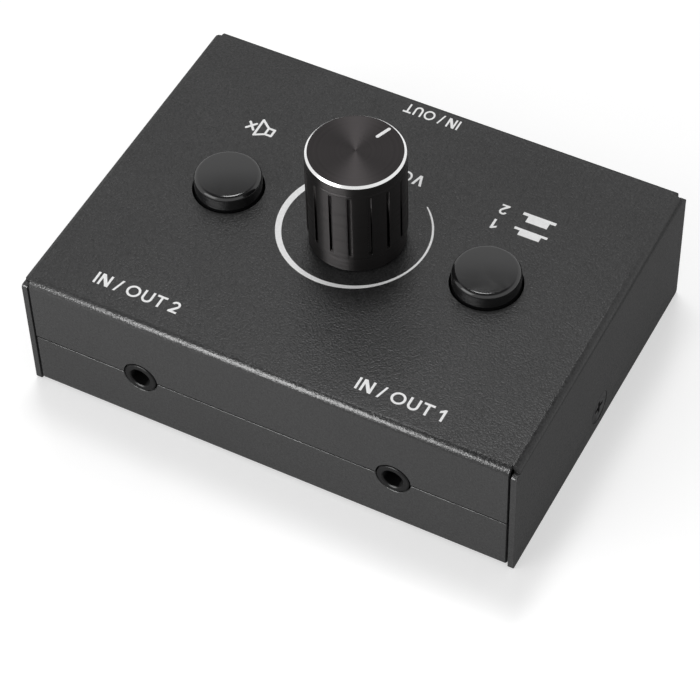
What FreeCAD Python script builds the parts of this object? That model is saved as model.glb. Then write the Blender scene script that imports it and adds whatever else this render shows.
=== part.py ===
"""Speaker selector switch: a folded steel box with a volume knob and two push buttons.

One STEP file per sub-part. Millimetres, +Z up, origin at the centre of the case's underside.
The two numbered jacks face -Y, the common jack faces +Y, and the knob stands on the top.
"""
import FreeCAD, Part
import math
import os
from FreeCAD import Vector

X_AXIS = Vector(1, 0, 0)
Y_AXIS = Vector(0, 1, 0)
Z_AXIS = Vector(0, 0, 1)

# ---------------------------------------------------------------- case
case_width = 88.0            # X, over the side walls
case_depth = 65.0            # Y, over the front and rear walls
case_height = 24.6           # Z, underside to top face
sheet = 1.0                  # steel sheet
bend_inner_radius = 0.4      # inside of every fold
seam_gap = 0.3               # between the cover's and the tray's front walls
tray_clearance = 0.1         # between the tray's tabs and the cover's side walls
corner_round = 0.5           # exposed corners of the side walls
tab_width = 24.0             # tray tab that takes the side screw
tab_height = 9.0
tab_relief = 1.0             # slot beside each tab's fold

# ---------------------------------------------------------------- screws
thread_radius = 1.5          # M3
thread_clearance = 0.05      # tapped holes, modelled plain
screw_passage = 0.2          # plain holes, on the radius
cover_screw_z = 4.6
cover_screw_length = 6.0
cover_screw_head_radius = 2.9
cover_screw_sunk = 0.1       # head below the wall's outer face
board_screw_length = 6.0
board_screw_head_radius = 2.75
board_screw_head_height = 1.7
head_round = 0.6             # board screws
recess_width = 0.7           # cross recess of every screw
recess_length = 2.8
recess_depth = 0.8
tapping_allowance = 0.2      # a tapped hole runs past its screw's end

# ---------------------------------------------------------------- circuit board
board_side_gap = 4.0         # board's side edges to the side walls
board_wall_gap = 1.3         # board's front and rear edges to the walls
board_corner_round = 1.5
board_thickness = 1.6
standoff_across_flats = 5.0
standoff_inset = 5.0         # from the board's edges
pin_tail = 1.0               # pins stand out below the board
pin_clearance = 0.15         # round each pin in the board
slot_clearance = 0.05        # round a part in a moulded slot

# ---------------------------------------------------------------- 3.5 mm jacks
jack_axis_z = 11.2           # also the height of the seam
jack_inset = 21.1            # numbered jacks, from the case's sides
jack_bore_radius = 1.8
jack_mouth_chamfer = 0.3
jack_nose_radius = 2.85
jack_nose_proud = 0.15       # past the outer face of the wall
jack_hole_clearance = 0.25   # between the nose and the wall
jack_body_width = 7.0
jack_body_height = 6.0
jack_body_length = 13.6
jack_back_wall = 0.75
jack_wall_gap = 0.2          # between the body and the wall
contact_sheet = 0.3
contact_width = 1.2
contact_reach = 0.08         # contact tips stay this far outside the bore
contact_first = 3.2          # sleeve contact, back from the body's front face
contact_pitch = 3.6          # on to the ring's and the tip's

# ---------------------------------------------------------------- controls
knob_x = 0.2
knob_y = -0.1
button_row_y = 0.2
select_inset = 20.85         # buttons, from the case's sides
mute_inset = 20.05

# ---------------------------------------------------------------- push switches
switch_size = 8.4
switch_floor = 0.8
switch_roof = 1.0
chamber_size = 5.0
plunger_stem = 3.3
plunger_foot = 4.4
plunger_foot_height = 1.85
stem_clearance = 0.2
plunger_stop_gap = 0.15
button_travel = 2.5
spring_radius = 1.8
spring_wire = 0.3
spring_wire_flats = 8        # the wire's section is a polygon
spring_turns = 4
spring_solid_height = 1.5    # left under the foot when the button is down
spring_seat_gap = 0.05
latch_wire_radius = 0.25
latch_groove = 0.6
latch_drop = 0.85            # latch finger below the top of the foot
latch_notch = 1.2
terminal_width = 0.6
terminal_pitch = 2.0
terminal_row = 3.3           # rows of terminals, each side of the middle
terminal_seat = 2.0

# ---------------------------------------------------------------- button caps
button_rise = 3.25           # above the case
button_top_radius = 5.65
button_base_radius = 5.8
button_under_gap = 0.3       # pressed cap to the switch
button_edge_round = 0.55
button_wall = 1.0
button_roof = 1.4
button_hole_clearance = 0.25
button_boss_radius = 2.9
button_socket_roof = 6.0     # from the cap's top down to the plunger
button_socket_clearance = 0.05

# ---------------------------------------------------------------- potentiometer
pot_size = 12.4
pot_strap_thickness = 0.4
pot_strap_width = 8.0
pot_rear_plate = 1.0
pot_decks = 2                # one for each channel
pot_wafer_thickness = 1.0
pot_chamber_radius = 5.0
pot_wafer_hole_radius = 3.3
pot_front_block = 3.0
bushing_radius = 3.45        # M7
bushing_rise = 3.5           # above the case
bushing_hole_clearance = 0.2
shaft_radius = 3.0
shaft_running_clearance = 0.05
shaft_tail_radius = 2.0
shaft_collar_radius = 4.0
shaft_collar_height = 0.7
shaft_collar_gap = 0.3
shaft_tail_gap = 0.2         # tail to the rear plate
shaft_flat_offset = 1.5      # flat of the D, from the axis
shaft_flat_length = 10.0
rotor_clearance = 0.4        # rotor in its chamber
rotor_height = 1.6
rotor_bore_clearance = 0.03
wiper_width = 0.6
wiper_length = 2.0
wiper_root = 1.2             # seated in its rotor
wiper_gap = 0.1              # above the wafer's track
wiper_offset = 3.95
pot_terminal_width = 0.9
pot_terminal_pitch = 3.0
pot_terminal_thickness = 0.5
pot_terminal_reach = 1.0     # lower row, out from the wafers
pot_terminal_row = 1.6       # on to the upper row
washer_outer_radius = 6.0
washer_thickness = 0.5
nut_across_flats = 10.0
nut_thickness = 2.0
nut_thread_clearance = 0.05

# ---------------------------------------------------------------- knob
knob_gap = 0.3               # under the knob
knob_height = 19.6
knob_skirt_radius = 7.98
knob_skirt_height = 2.9
knob_body_radius = 8.2
knob_band_radius = 8.05
knob_band_height = 1.6
knob_step = 0.15
knob_chamfer = 0.55
knob_foot_round = 0.3
flute_count = 16
flute_width = 0.6
flute_depth = 0.7
flute_base = 3.9             # above the knob's foot
flute_top_gap = 0.5          # below the band
flute_phase = 20.0           # degrees from +X to the first flute
pointer_angle = 68.6         # degrees from +X at rest
pointer_inner_radius = 4.3
pointer_outer_radius = 7.3
pointer_width = 0.75
pointer_depth = 0.2
knob_core_radius = 6.0
knob_core_clearance = 0.02
knob_core_gap = 1.1          # core to the bushing
knob_core_roof = 0.6
knob_roof = 4.2              # solid metal over the core
knob_hollow_clearance = 0.6  # round the washer and the nut
knob_shaft_clearance = 0.03
knob_shaft_end_gap = 0.4

# ---------------------------------------------------------------- worked out
past = 1.0                   # how far a cutting shape runs past a face
near = 0.01                  # lengths closer than this count as equal
half_width = case_width / 2
half_depth = case_depth / 2
bend_radius = bend_inner_radius + sheet
ceiling = case_height - sheet
board_width = case_width - 2 * (sheet + board_side_gap)
board_depth = case_depth - 2 * (sheet + board_wall_gap)
board_top = jack_axis_z - jack_body_height / 2
board_bottom = board_top - board_thickness
pin_end = board_bottom - pin_tail
pot_stack_low = board_top + pot_strap_thickness + pot_rear_plate
pot_spacer = (ceiling - pot_front_block - pot_stack_low) / pot_decks - pot_wafer_thickness
rotor_lift = (pot_spacer - shaft_collar_gap - shaft_collar_height - rotor_height) / 2
switch_roof_z = (board_top + switch_floor + spring_solid_height + button_travel
                 + plunger_foot_height + plunger_stop_gap)
switch_top = switch_roof_z + switch_roof
button_top = case_height + button_rise
button_low = switch_top + button_travel + button_under_gap
plunger_top = button_top - button_socket_roof
nut_corner_radius = nut_across_flats / math.sqrt(3)
knob_foot = case_height + knob_gap
knob_top = knob_foot + knob_height
knob_core_low = case_height + bushing_rise + knob_core_gap
knob_core_top = knob_top - knob_roof
knob_socket_top = knob_core_top - knob_core_roof
shaft_top = knob_socket_top - knob_shaft_end_gap
knob_hollow_radius = max(washer_outer_radius, nut_corner_radius) + knob_hollow_clearance
jack_hole_radius = jack_nose_radius + jack_hole_clearance
button_hole_radius = button_base_radius + button_hole_clearance
flange_half_length = half_width - bend_radius
tab_face = half_width - sheet - tray_clearance
button_places = {"select": (half_width - select_inset, button_row_y),
                 "mute": (mute_inset - half_width, button_row_y)}


def box(low, high):
    """Return a box from its lowest to its highest corner."""
    size = [b - a for a, b in zip(low, high)]
    return Part.makeBox(size[0], size[1], size[2], Vector(*low))


def block(x, y, width, depth, low, high):
    """Return an upright block centred on x, y."""
    return box((x - width / 2, y - depth / 2, low), (x + width / 2, y + depth / 2, high))


def rod(x, y, radius, low, high):
    """Return an upright cylinder."""
    return Part.makeCylinder(radius, high - low, Vector(x, y, low))


def turned(points, x, y):
    """Return the solid made by turning a profile of (radius, z) points about an upright axis."""
    wire = Part.makePolygon([Vector(r, 0, z) for r, z in points + [points[0]]])
    solid = Part.Face(wire).revolve(Vector(0, 0, 0), Z_AXIS, 360)
    solid.translate(Vector(x, y, 0))
    return solid


def prism(points, along, length):
    """Return a straight prism on a closed outline of Vectors, pushed along a unit vector."""
    return Part.Face(Part.makePolygon(points + [points[0]])).extrude(along * length)


def fold(along, centre, out, up, length):
    """Return one quarter-round fold of the sheet.

    along is the fold's direction and centre the near end of the line that it bends about.
    out and up are the unit vectors from that line towards the two faces that the fold joins.
    """
    def at(radius, angle):
        turn = math.radians(angle)
        return centre + out * (radius * math.cos(turn)) + up * (radius * math.sin(turn))

    outer = Part.Arc(at(bend_radius, 0), at(bend_radius, 45), at(bend_radius, 90)).toShape()
    inner = Part.Arc(at(bend_inner_radius, 90), at(bend_inner_radius, 45),
                     at(bend_inner_radius, 0)).toShape()
    ends = [Part.makeLine(at(bend_radius, 90), at(bend_inner_radius, 90)),
            Part.makeLine(at(bend_inner_radius, 0), at(bend_radius, 0))]
    outline = Part.Wire([outer, ends[0], inner, ends[1]])
    return Part.Face(outline).extrude(along * length)


def fold_along_x(side, z_centre, up, half_length):
    """Return a fold that runs along X on the front (-1) or rear (1)."""
    centre = Vector(-half_length, side * (half_depth - bend_radius), z_centre)
    return fold(X_AXIS, centre, Y_AXIS * side, Z_AXIS * up, 2 * half_length)


def fold_along_y(x_centre, z_centre, side, up, half_length):
    """Return a fold that runs along Y on the left (-1) or right (1) side."""
    centre = Vector(x_centre, -half_length, z_centre)
    return fold(Y_AXIS, centre, X_AXIS * side, Z_AXIS * up, 2 * half_length)


def fuse(shapes):
    """Return one solid from shapes that share faces."""
    return shapes[0].multiFuse(shapes[1:]).removeSplitter()


def regular_hexagon(x, y, across_flats, low, high):
    """Return an upright hexagonal bar."""
    radius = across_flats / math.sqrt(3)
    corners = [Vector(x + radius * math.cos(math.radians(60 * k)),
                      y + radius * math.sin(math.radians(60 * k)), low) for k in range(6)]
    return prism(corners, Z_AXIS, high - low)


def top_rim(shape, height):
    """Return a turned shape's round edges at the given height."""
    return [edge for edge in shape.Edges if edge.BoundBox.ZMin > height - near
            and edge.Curve.TypeId == "Part::GeomCircle"]


def cross_recess(screw, height):
    """Return a screw with a cross recess cut in the top of its head."""
    floor = height - recess_depth
    bars = [block(0, 0, recess_length, recess_width, floor, height + past),
            block(0, 0, recess_width, recess_length, floor, height + past)]
    return screw.cut(bars)


def pan_screw():
    """Return a board screw along -Z, with the underside of its head at z 0."""
    height = board_screw_head_height
    head = rod(0, 0, board_screw_head_radius, 0, height)
    head = head.makeFillet(head_round, top_rim(head, height))
    shank = rod(0, 0, thread_radius, -board_screw_length, 0)
    return cross_recess(fuse([head, shank]), height)


def countersunk_screw():
    """Return a cover screw along -Z, with z 0 at the outer face of the wall that it holds."""
    outline = [(0, -cover_screw_length), (thread_radius, -cover_screw_length),
               (thread_radius, -sheet), (cover_screw_head_radius, -cover_screw_sunk),
               (0, -cover_screw_sunk)]
    return cross_recess(turned(outline, 0, 0), -cover_screw_sunk)


def countersink():
    """Return the shape that is cut from a side wall for a cover screw."""
    radius = thread_radius + thread_clearance
    mouth = cover_screw_head_radius + thread_clearance
    return turned([(0, -sheet - past), (radius, -sheet - past), (radius, -sheet),
                   (mouth, -cover_screw_sunk), (mouth, past), (0, past)], 0, 0)


def on_side_wall(shape, side):
    """Return a shape moved from the origin to the screw's place on a side wall."""
    shape.rotate(Vector(0, 0, 0), Y_AXIS, side * 90)
    shape.translate(Vector(side * half_width, 0, cover_screw_z))
    return shape


# ---------------------------------------------------------------- case

def jack_places():
    """Return each jack's name, its X and the side of the case that it faces."""
    x = half_width - jack_inset
    return (("jack_1", x, -1), ("jack_2", -x, -1), ("jack_common", 0, 1))


def cut_jack_holes(shell):
    """Cut the round jack holes that the seam passes through."""
    for _name, x, facing in jack_places():
        start = Vector(x, facing * (half_depth + past), jack_axis_z)
        shell = shell.cut(Part.makeCylinder(jack_hole_radius, sheet + 2 * past, start,
                                            Y_AXIS * -facing))
    return shell


def top_cover():
    """Return the cover: the top with four walls folded down from it."""
    inner_depth = half_depth - bend_radius
    bend_z = case_height - bend_radius
    pieces = [box((-flange_half_length, -inner_depth, ceiling),
                  (flange_half_length, inner_depth, case_height))]
    for side in (-1, 1):
        pieces.append(fold_along_x(side, bend_z, 1, flange_half_length))
        low_y, high_y = sorted((side * half_depth, side * (half_depth - sheet)))
        pieces.append(box((-flange_half_length, low_y, jack_axis_z + seam_gap / 2),
                          (flange_half_length, high_y, bend_z)))
        pieces.append(fold_along_y(side * flange_half_length, bend_z, side, 1, inner_depth))
        pieces.append(side_wall(side, bend_z))
    cover = cut_jack_holes(fuse(pieces))
    cover = cover.cut(rod(knob_x, knob_y, bushing_radius + bushing_hole_clearance,
                          ceiling - past, case_height + past))
    for x, y in button_places.values():
        cover = cover.cut(rod(x, y, button_hole_radius, ceiling - past, case_height + past))
    return cover.cut([on_side_wall(countersink(), side) for side in (-1, 1)])


def side_wall(side, top):
    """Return one full-height side wall with its exposed corners rounded."""
    low_x, high_x = sorted((side * half_width, side * (half_width - sheet)))
    wall = box((low_x, -half_depth, 0), (high_x, half_depth, top))
    corners = [edge for edge in wall.Edges
               if abs(abs(edge.CenterOfMass.y) - half_depth) < near
               and abs(edge.BoundBox.XLength - sheet) < near]
    return wall.makeFillet(corner_round, corners)


def bottom_tray():
    """Return the tray: the bottom with front and rear walls and a screw tab at each side."""
    inner_depth = half_depth - bend_radius
    fold_start = tab_face - bend_radius
    pieces = [box((-flange_half_length, -inner_depth, 0), (flange_half_length, inner_depth, sheet))]
    for side in (-1, 1):
        pieces.append(fold_along_x(side, bend_radius, -1, flange_half_length))
        low_y, high_y = sorted((side * half_depth, side * (half_depth - sheet)))
        pieces.append(box((-flange_half_length, low_y, bend_radius),
                          (flange_half_length, high_y, jack_axis_z - seam_gap / 2)))
    tray = cut_jack_holes(fuse(pieces))
    for side in (-1, 1):
        low_x, high_x = sorted((side * fold_start, side * half_width))
        reach = tab_width / 2 + tab_relief
        tray = tray.cut(box((low_x, -reach, -past), (high_x, reach, sheet + past)))
        low_x, high_x = sorted((side * tab_face, side * (tab_face - sheet)))
        tab = box((low_x, -tab_width / 2, bend_radius), (high_x, tab_width / 2, tab_height))
        folded = fold_along_y(side * fold_start, bend_radius, side, -1, tab_width / 2)
        tray = fuse([tray, folded, tab])
    tapped = Part.makeCylinder(thread_radius + thread_clearance, case_width,
                               Vector(-half_width, 0, cover_screw_z), X_AXIS)
    return tray.cut(tapped)


def cover_screws():
    """Return the two side screws."""
    return Part.makeCompound([on_side_wall(countersunk_screw(), side) for side in (-1, 1)])


# ---------------------------------------------------------------- circuit board

def standoff_places():
    """Return the four standoff centres."""
    x = board_width / 2 - standoff_inset
    y = board_depth / 2 - standoff_inset
    return [(sx * x, sy * y) for sx in (-1, 1) for sy in (-1, 1)]


def board_standoffs():
    """Return the four hexagonal standoffs that are clinched to the tray."""
    bars = []
    for x, y in standoff_places():
        bar = regular_hexagon(x, y, standoff_across_flats, sheet, board_bottom)
        bars.append(bar.cut(rod(x, y, thread_radius + thread_clearance,
                                board_top - board_screw_length - tapping_allowance,
                                board_bottom + past)))
    return Part.makeCompound(bars)


def board_screws():
    """Return the four screws that hold the board down."""
    screws = []
    for x, y in standoff_places():
        screw = pan_screw()
        screw.translate(Vector(x, y, board_top))
        screws.append(screw)
    return Part.makeCompound(screws)


def circuit_board():
    """Return the board with a hole for every screw and pin."""
    board = block(0, 0, board_width, board_depth, board_bottom, board_top)
    upright = [edge for edge in board.Edges if edge.BoundBox.ZLength > board_thickness / 2]
    board = board.makeFillet(board_corner_round, upright)
    holes = [rod(x, y, thread_radius + screw_passage, board_bottom - past, board_top + past)
             for x, y in standoff_places()]
    for x, y, width, depth in pin_sections():
        holes.append(block(x, y, width + 2 * pin_clearance, depth + 2 * pin_clearance,
                           board_bottom - past, board_top + past))
    return board.cut(holes)


def pin_sections():
    """Return the centre and the section of every pin that passes through the board."""
    sections = []
    for _name, x, facing in jack_places():
        for side, y in contact_places(facing):
            pin_x = x + side * (jack_body_width + contact_sheet) / 2
            sections.append((pin_x, y, contact_sheet, contact_width))
    for x, y in button_places.values():
        for pin_x, pin_y in terminal_places(x, y):
            sections.append((pin_x, pin_y, terminal_width, terminal_width))
    for pin_x, pin_y in pot_pin_places():
        sections.append((pin_x, pin_y, pot_terminal_width, pot_terminal_thickness))
    return sections


# ---------------------------------------------------------------- jacks

def jack_body_front(facing):
    """Return the Y of a jack body's front face."""
    return facing * (half_depth - sheet - jack_wall_gap)


def contact_places(facing):
    """Return the side (-1 or 1) and the Y of each of a jack's three contacts."""
    front = jack_body_front(facing)
    return [(side, front - facing * (contact_first + k * contact_pitch))
            for k, side in enumerate((-1, 1, -1))]


def jack_housing(x, facing):
    """Return a moulded jack body with its round nose and bore."""
    front = jack_body_front(facing)
    back = front - facing * jack_body_length
    low_y, high_y = sorted((front, back))
    body = box((x - jack_body_width / 2, low_y, board_top),
               (x + jack_body_width / 2, high_y, board_top + jack_body_height))
    nose_face = facing * (half_depth + jack_nose_proud)
    centre = Vector(x, nose_face, jack_axis_z)
    inward = Y_AXIS * -facing
    nose = Part.makeCylinder(jack_nose_radius, abs(nose_face - front), centre, inward)
    housing = fuse([body, nose])
    bore_depth = abs(nose_face - back) - jack_back_wall
    housing = housing.cut(Part.makeCylinder(jack_bore_radius, bore_depth, centre, inward))
    mouth = Part.makeCone(jack_bore_radius + jack_mouth_chamfer, jack_bore_radius,
                          jack_mouth_chamfer, centre, inward)
    housing = housing.cut(mouth)
    for side, y in contact_places(facing):
        housing = housing.cut(contact_finger(x, y, side, 0.0, slot_clearance))
    return housing


def contact_finger(x, y, side, tip, grow):
    """Return a bar from the body's side in towards the bore.

    tip is how far from the bore's axis the bar ends, and grow what is added all round it.
    """
    low_x, high_x = sorted((x + side * tip, x + side * jack_body_width / 2))
    half = contact_width / 2 + grow
    thick = contact_sheet / 2 + grow
    return box((low_x, y - half, jack_axis_z - thick), (high_x, y + half, jack_axis_z + thick))


def jack_contacts(x, facing):
    """Return the three contacts of a jack: finger, side plate and solder leg."""
    contacts = []
    for side, y in contact_places(facing):
        low_x, high_x = sorted((x + side * jack_body_width / 2,
                                x + side * (jack_body_width / 2 + contact_sheet)))
        plate = box((low_x, y - contact_width / 2, pin_end),
                    (high_x, y + contact_width / 2, jack_axis_z + contact_sheet))
        finger = contact_finger(x, y, side, jack_bore_radius + contact_reach, 0.0)
        contacts.append(fuse([plate, finger]))
    return Part.makeCompound(contacts)


# ---------------------------------------------------------------- push switches

def chamber_floor():
    """Return the Z of the floor inside a switch."""
    return board_top + switch_floor


def foot_top():
    """Return the Z of the top of a plunger's foot at rest."""
    return switch_roof_z - plunger_stop_gap


def terminal_places(x, y):
    """Return the centres of a switch's six terminals."""
    return [(x + sx * terminal_row, y + k * terminal_pitch) for sx in (-1, 1) for k in (-1, 0, 1)]


def switch_housing(x, y):
    """Return the moulded switch body with its chamber, stem hole and latch groove."""
    housing = block(x, y, switch_size, switch_size, board_top, switch_top)
    opening = plunger_stem + 2 * stem_clearance
    cutters = [block(x, y, chamber_size, chamber_size, chamber_floor(), switch_roof_z),
               block(x, y, opening, opening, switch_roof_z - past, switch_top + past),
               box((x - latch_groove / 2, y, chamber_floor()),
                   (x + latch_groove / 2, y + chamber_size / 2 + latch_groove, switch_roof_z))]
    pin_slot = terminal_width + 2 * slot_clearance
    for pin_x, pin_y in terminal_places(x, y):
        cutters.append(block(pin_x, pin_y, pin_slot, pin_slot, board_top - past,
                             board_top + terminal_seat + slot_clearance))
    return housing.cut(cutters)


def switch_terminals(x, y):
    """Return the six terminals of a switch."""
    return Part.makeCompound([block(pin_x, pin_y, terminal_width, terminal_width, pin_end,
                                    board_top + terminal_seat)
                              for pin_x, pin_y in terminal_places(x, y)])


def switch_plunger(x, y):
    """Return the sliding plunger: a foot in the chamber and a stem up into the cap."""
    low = foot_top() - plunger_foot_height
    foot = block(x, y, plunger_foot, plunger_foot, low, foot_top())
    stem = block(x, y, plunger_stem, plunger_stem, low, plunger_top)
    notch = box((x - latch_notch / 2, y + plunger_stem / 2, low - past),
                (x + latch_notch / 2, y + plunger_foot / 2 + past, foot_top() + past))
    return fuse([foot, stem]).cut(notch)


def switch_spring(x, y):
    """Return the return spring under a plunger."""
    low = chamber_floor() + spring_seat_gap + spring_wire / 2
    high = foot_top() - plunger_foot_height - spring_seat_gap - spring_wire / 2
    height = high - low
    helix = Part.makeHelix(height / spring_turns, height, spring_radius)
    turns = [2 * math.pi * k / spring_wire_flats for k in range(spring_wire_flats + 1)]
    section = Part.makePolygon([Vector(spring_radius + spring_wire / 2 * math.cos(turn), 0,
                                       spring_wire / 2 * math.sin(turn)) for turn in turns])
    spring = Part.Wire(helix.Edges).makePipeShell([section], True, True)
    spring.translate(Vector(x, y, low))
    return spring


def switch_latch(x, y):
    """Return the latch wire: an upright in the groove with a finger towards the plunger."""
    wire_y = y + chamber_size / 2 + latch_groove / 2
    low = chamber_floor() + slot_clearance
    high = foot_top() - latch_drop
    upright = rod(x, wire_y, latch_wire_radius, low, high)
    reach = wire_y - (y + plunger_stem / 2 + stem_clearance)
    finger = Part.makeCylinder(latch_wire_radius, reach, Vector(x, wire_y, high), Y_AXIS * -1)
    elbow = Part.makeSphere(latch_wire_radius, Vector(x, wire_y, high))
    return fuse([upright, elbow, finger])


def button_cap(x, y):
    """Return a round button cap with a socket for the plunger."""
    low = button_low
    cap = turned([(0, low), (button_base_radius, low), (button_top_radius, button_top),
                  (0, button_top)], x, y)
    cap = cap.makeFillet(button_edge_round, top_rim(cap, button_top))
    roof = button_top - button_roof
    cap = cap.cut(turned([(0, low - past), (button_base_radius - button_wall, low - past),
                          (button_top_radius - button_wall, roof), (0, roof)], x, y))
    boss = rod(x, y, button_boss_radius, low, button_top - button_roof / 2)
    cap = fuse([cap, boss])
    socket = plunger_stem + 2 * button_socket_clearance
    return cap.cut(block(x, y, socket, socket, low - past,
                         plunger_top + button_socket_clearance))


# ---------------------------------------------------------------- potentiometer

def pot_levels():
    """Return the Z of each joint in the potentiometer's stack, from the board up."""
    levels = [board_top, board_top + pot_strap_thickness, pot_stack_low]
    for _deck in range(pot_decks):
        levels.append(levels[-1] + pot_wafer_thickness)
        levels.append(levels[-1] + pot_spacer)
    levels.append(ceiling)
    return levels


def pot_strap():
    """Return the steel strap that holds the stack together."""
    levels = pot_levels()
    inner = pot_size / 2
    outer = inner + pot_strap_thickness
    half = pot_strap_width / 2
    x, y = knob_x, knob_y
    base = box((x - outer, y - half, board_top), (x + outer, y + half, levels[1]))
    sides = [box((x + min(s * inner, s * outer), y - half, levels[1]),
                 (x + max(s * inner, s * outer), y + half, ceiling - pot_front_block / 2))
             for s in (-1, 1)]
    return fuse([base] + sides)


def pot_rear():
    """Return the moulded plate that closes the rear of the stack."""
    levels = pot_levels()
    return block(knob_x, knob_y, pot_size, pot_size, levels[1], levels[2])


def pot_ring(low, high, hole_radius):
    """Return one square layer of the stack with a round hole."""
    layer = block(knob_x, knob_y, pot_size, pot_size, low, high)
    return layer.cut(rod(knob_x, knob_y, hole_radius, low - past, high + past))


def pot_wafers():
    """Return the two wafers that carry the resistance tracks."""
    levels = pot_levels()
    return Part.makeCompound([pot_ring(levels[2], levels[3], pot_wafer_hole_radius),
                              pot_ring(levels[4], levels[5], pot_wafer_hole_radius)])


def pot_spacers():
    """Return the two moulded decks that the rotors turn in."""
    levels = pot_levels()
    return Part.makeCompound([pot_ring(levels[3], levels[4], pot_chamber_radius),
                              pot_ring(levels[5], levels[6], pot_chamber_radius)])


def pot_bushing():
    """Return the die-cast front with its threaded bushing."""
    low = ceiling - pot_front_block
    block_part = block(knob_x, knob_y, pot_size, pot_size, low, ceiling)
    top = case_height + bushing_rise
    tube = rod(knob_x, knob_y, bushing_radius, low + pot_front_block / 2, top)
    bore = rod(knob_x, knob_y, shaft_radius + shaft_running_clearance, low - past,
               top + past)
    return fuse([block_part, tube]).cut(bore)


def pot_pin_places():
    """Return the centres of the six potentiometer pins, the lower wafer's row first."""
    front = knob_y - pot_size / 2
    return [(knob_x + k * pot_terminal_pitch, front - pot_terminal_reach - row * pot_terminal_row)
            for row in range(pot_decks) for k in (-1, 0, 1)]


def pot_terminals():
    """Return the six terminals: a tab from the wafer and a leg down through the board."""
    levels = pot_levels()
    front = knob_y - pot_size / 2
    decks = [levels[2 + 2 * (k // 3)] for k in range(3 * pot_decks)]
    terminals = []
    for (x, y), deck in zip(pot_pin_places(), decks):
        half = pot_terminal_width / 2
        thick = pot_terminal_thickness / 2
        middle = deck + pot_wafer_thickness / 2
        leg = box((x - half, y - thick, pin_end), (x + half, y + thick, middle + thick))
        tab = box((x - half, y, middle - thick), (x + half, front, middle + thick))
        terminals.append(fuse([leg, tab]))
    return Part.makeCompound(terminals)


def pot_washer():
    """Return the washer under the nut."""
    top = case_height + washer_thickness
    disc = rod(knob_x, knob_y, washer_outer_radius, case_height, top)
    return disc.cut(rod(knob_x, knob_y, bushing_radius + bushing_hole_clearance,
                        case_height - past, top + past))


def pot_nut():
    """Return the thin hexagonal nut that fixes the potentiometer to the cover."""
    low = case_height + washer_thickness
    high = low + nut_thickness
    nut = regular_hexagon(knob_x, knob_y, nut_across_flats, low, high)
    return nut.cut(rod(knob_x, knob_y, bushing_radius + nut_thread_clearance,
                       low - past, high + past))


def pot_shaft():
    """Return the shaft: tail, collar and D-shaped end."""
    x, y = knob_x, knob_y
    collar_top = ceiling - pot_front_block - shaft_collar_gap
    collar_low = collar_top - shaft_collar_height
    tail_low = pot_levels()[2] + shaft_tail_gap
    shaft = turned([(0, tail_low), (shaft_tail_radius, tail_low), (shaft_tail_radius, collar_low),
                    (shaft_collar_radius, collar_low), (shaft_collar_radius, collar_top),
                    (shaft_radius, collar_top), (shaft_radius, shaft_top), (0, shaft_top)], x, y)
    flat = box((x - shaft_radius, y + shaft_flat_offset, shaft_top - shaft_flat_length),
               (x + shaft_radius, y + shaft_radius + past, shaft_top + past))
    return shaft.cut(flat)


def rotor_levels():
    """Return the Z of the underside of each rotor."""
    levels = pot_levels()
    return [levels[3] + rotor_lift, levels[5] + rotor_lift]


def pot_rotors():
    """Return the two rotors that are pressed on the shaft's tail, each slotted for its wiper."""
    rotors = []
    for low in rotor_levels():
        disc = rod(knob_x, knob_y, pot_chamber_radius - rotor_clearance, low,
                   low + rotor_height)
        bore = rod(knob_x, knob_y, shaft_tail_radius + rotor_bore_clearance,
                   low - past, low + rotor_height + past)
        slot = block(knob_x + wiper_offset, knob_y, wiper_width + 2 * slot_clearance,
                     wiper_length + 2 * slot_clearance, low - past,
                     low + wiper_root + slot_clearance)
        rotors.append(disc.cut([bore, slot]))
    return Part.makeCompound(rotors)


def pot_wipers():
    """Return the wiper under each rotor."""
    wipers = []
    for low in rotor_levels():
        wipers.append(block(knob_x + wiper_offset, knob_y, wiper_width, wiper_length,
                            low - rotor_lift + wiper_gap, low + wiper_root))
    return Part.makeCompound(wipers)


# ---------------------------------------------------------------- knob

def knob_shell():
    """Return the turned aluminium knob with its flutes, bright edge and pointer groove."""
    band_low = knob_top - knob_chamfer - knob_band_height
    skirt_top = knob_foot + knob_skirt_height
    outline = [(0, knob_foot), (knob_skirt_radius - knob_foot_round, knob_foot),
               (knob_skirt_radius, knob_foot + knob_foot_round), (knob_skirt_radius, skirt_top),
               (knob_body_radius, skirt_top + knob_step), (knob_body_radius, band_low),
               (knob_band_radius, band_low + knob_step),
               (knob_band_radius, knob_top - knob_chamfer),
               (knob_band_radius - knob_chamfer, knob_top), (0, knob_top)]
    knob = turned(outline, knob_x, knob_y)
    flute = box((knob_body_radius - flute_depth, -flute_width / 2, knob_foot + flute_base),
                (knob_body_radius + past, flute_width / 2, band_low - flute_top_gap))
    cutters = [about_knob(flute.copy(), flute_phase + k * 360.0 / flute_count)
               for k in range(flute_count)]
    groove = box((pointer_inner_radius, -pointer_width / 2, knob_top - pointer_depth),
                 (pointer_outer_radius, pointer_width / 2, knob_top + past))
    cutters.append(about_knob(groove, pointer_angle))
    cutters.append(rod(knob_x, knob_y, knob_hollow_radius, knob_foot - past,
                       knob_core_low))
    cutters.append(rod(knob_x, knob_y, knob_core_radius + knob_core_clearance,
                       knob_core_low - past, knob_core_top))
    return knob.cut(cutters)


def about_knob(shape, angle):
    """Return a shape turned about Z and moved from the origin to the knob's axis."""
    shape.rotate(Vector(0, 0, 0), Z_AXIS, angle)
    shape.translate(Vector(knob_x, knob_y, 0))
    return shape


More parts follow.
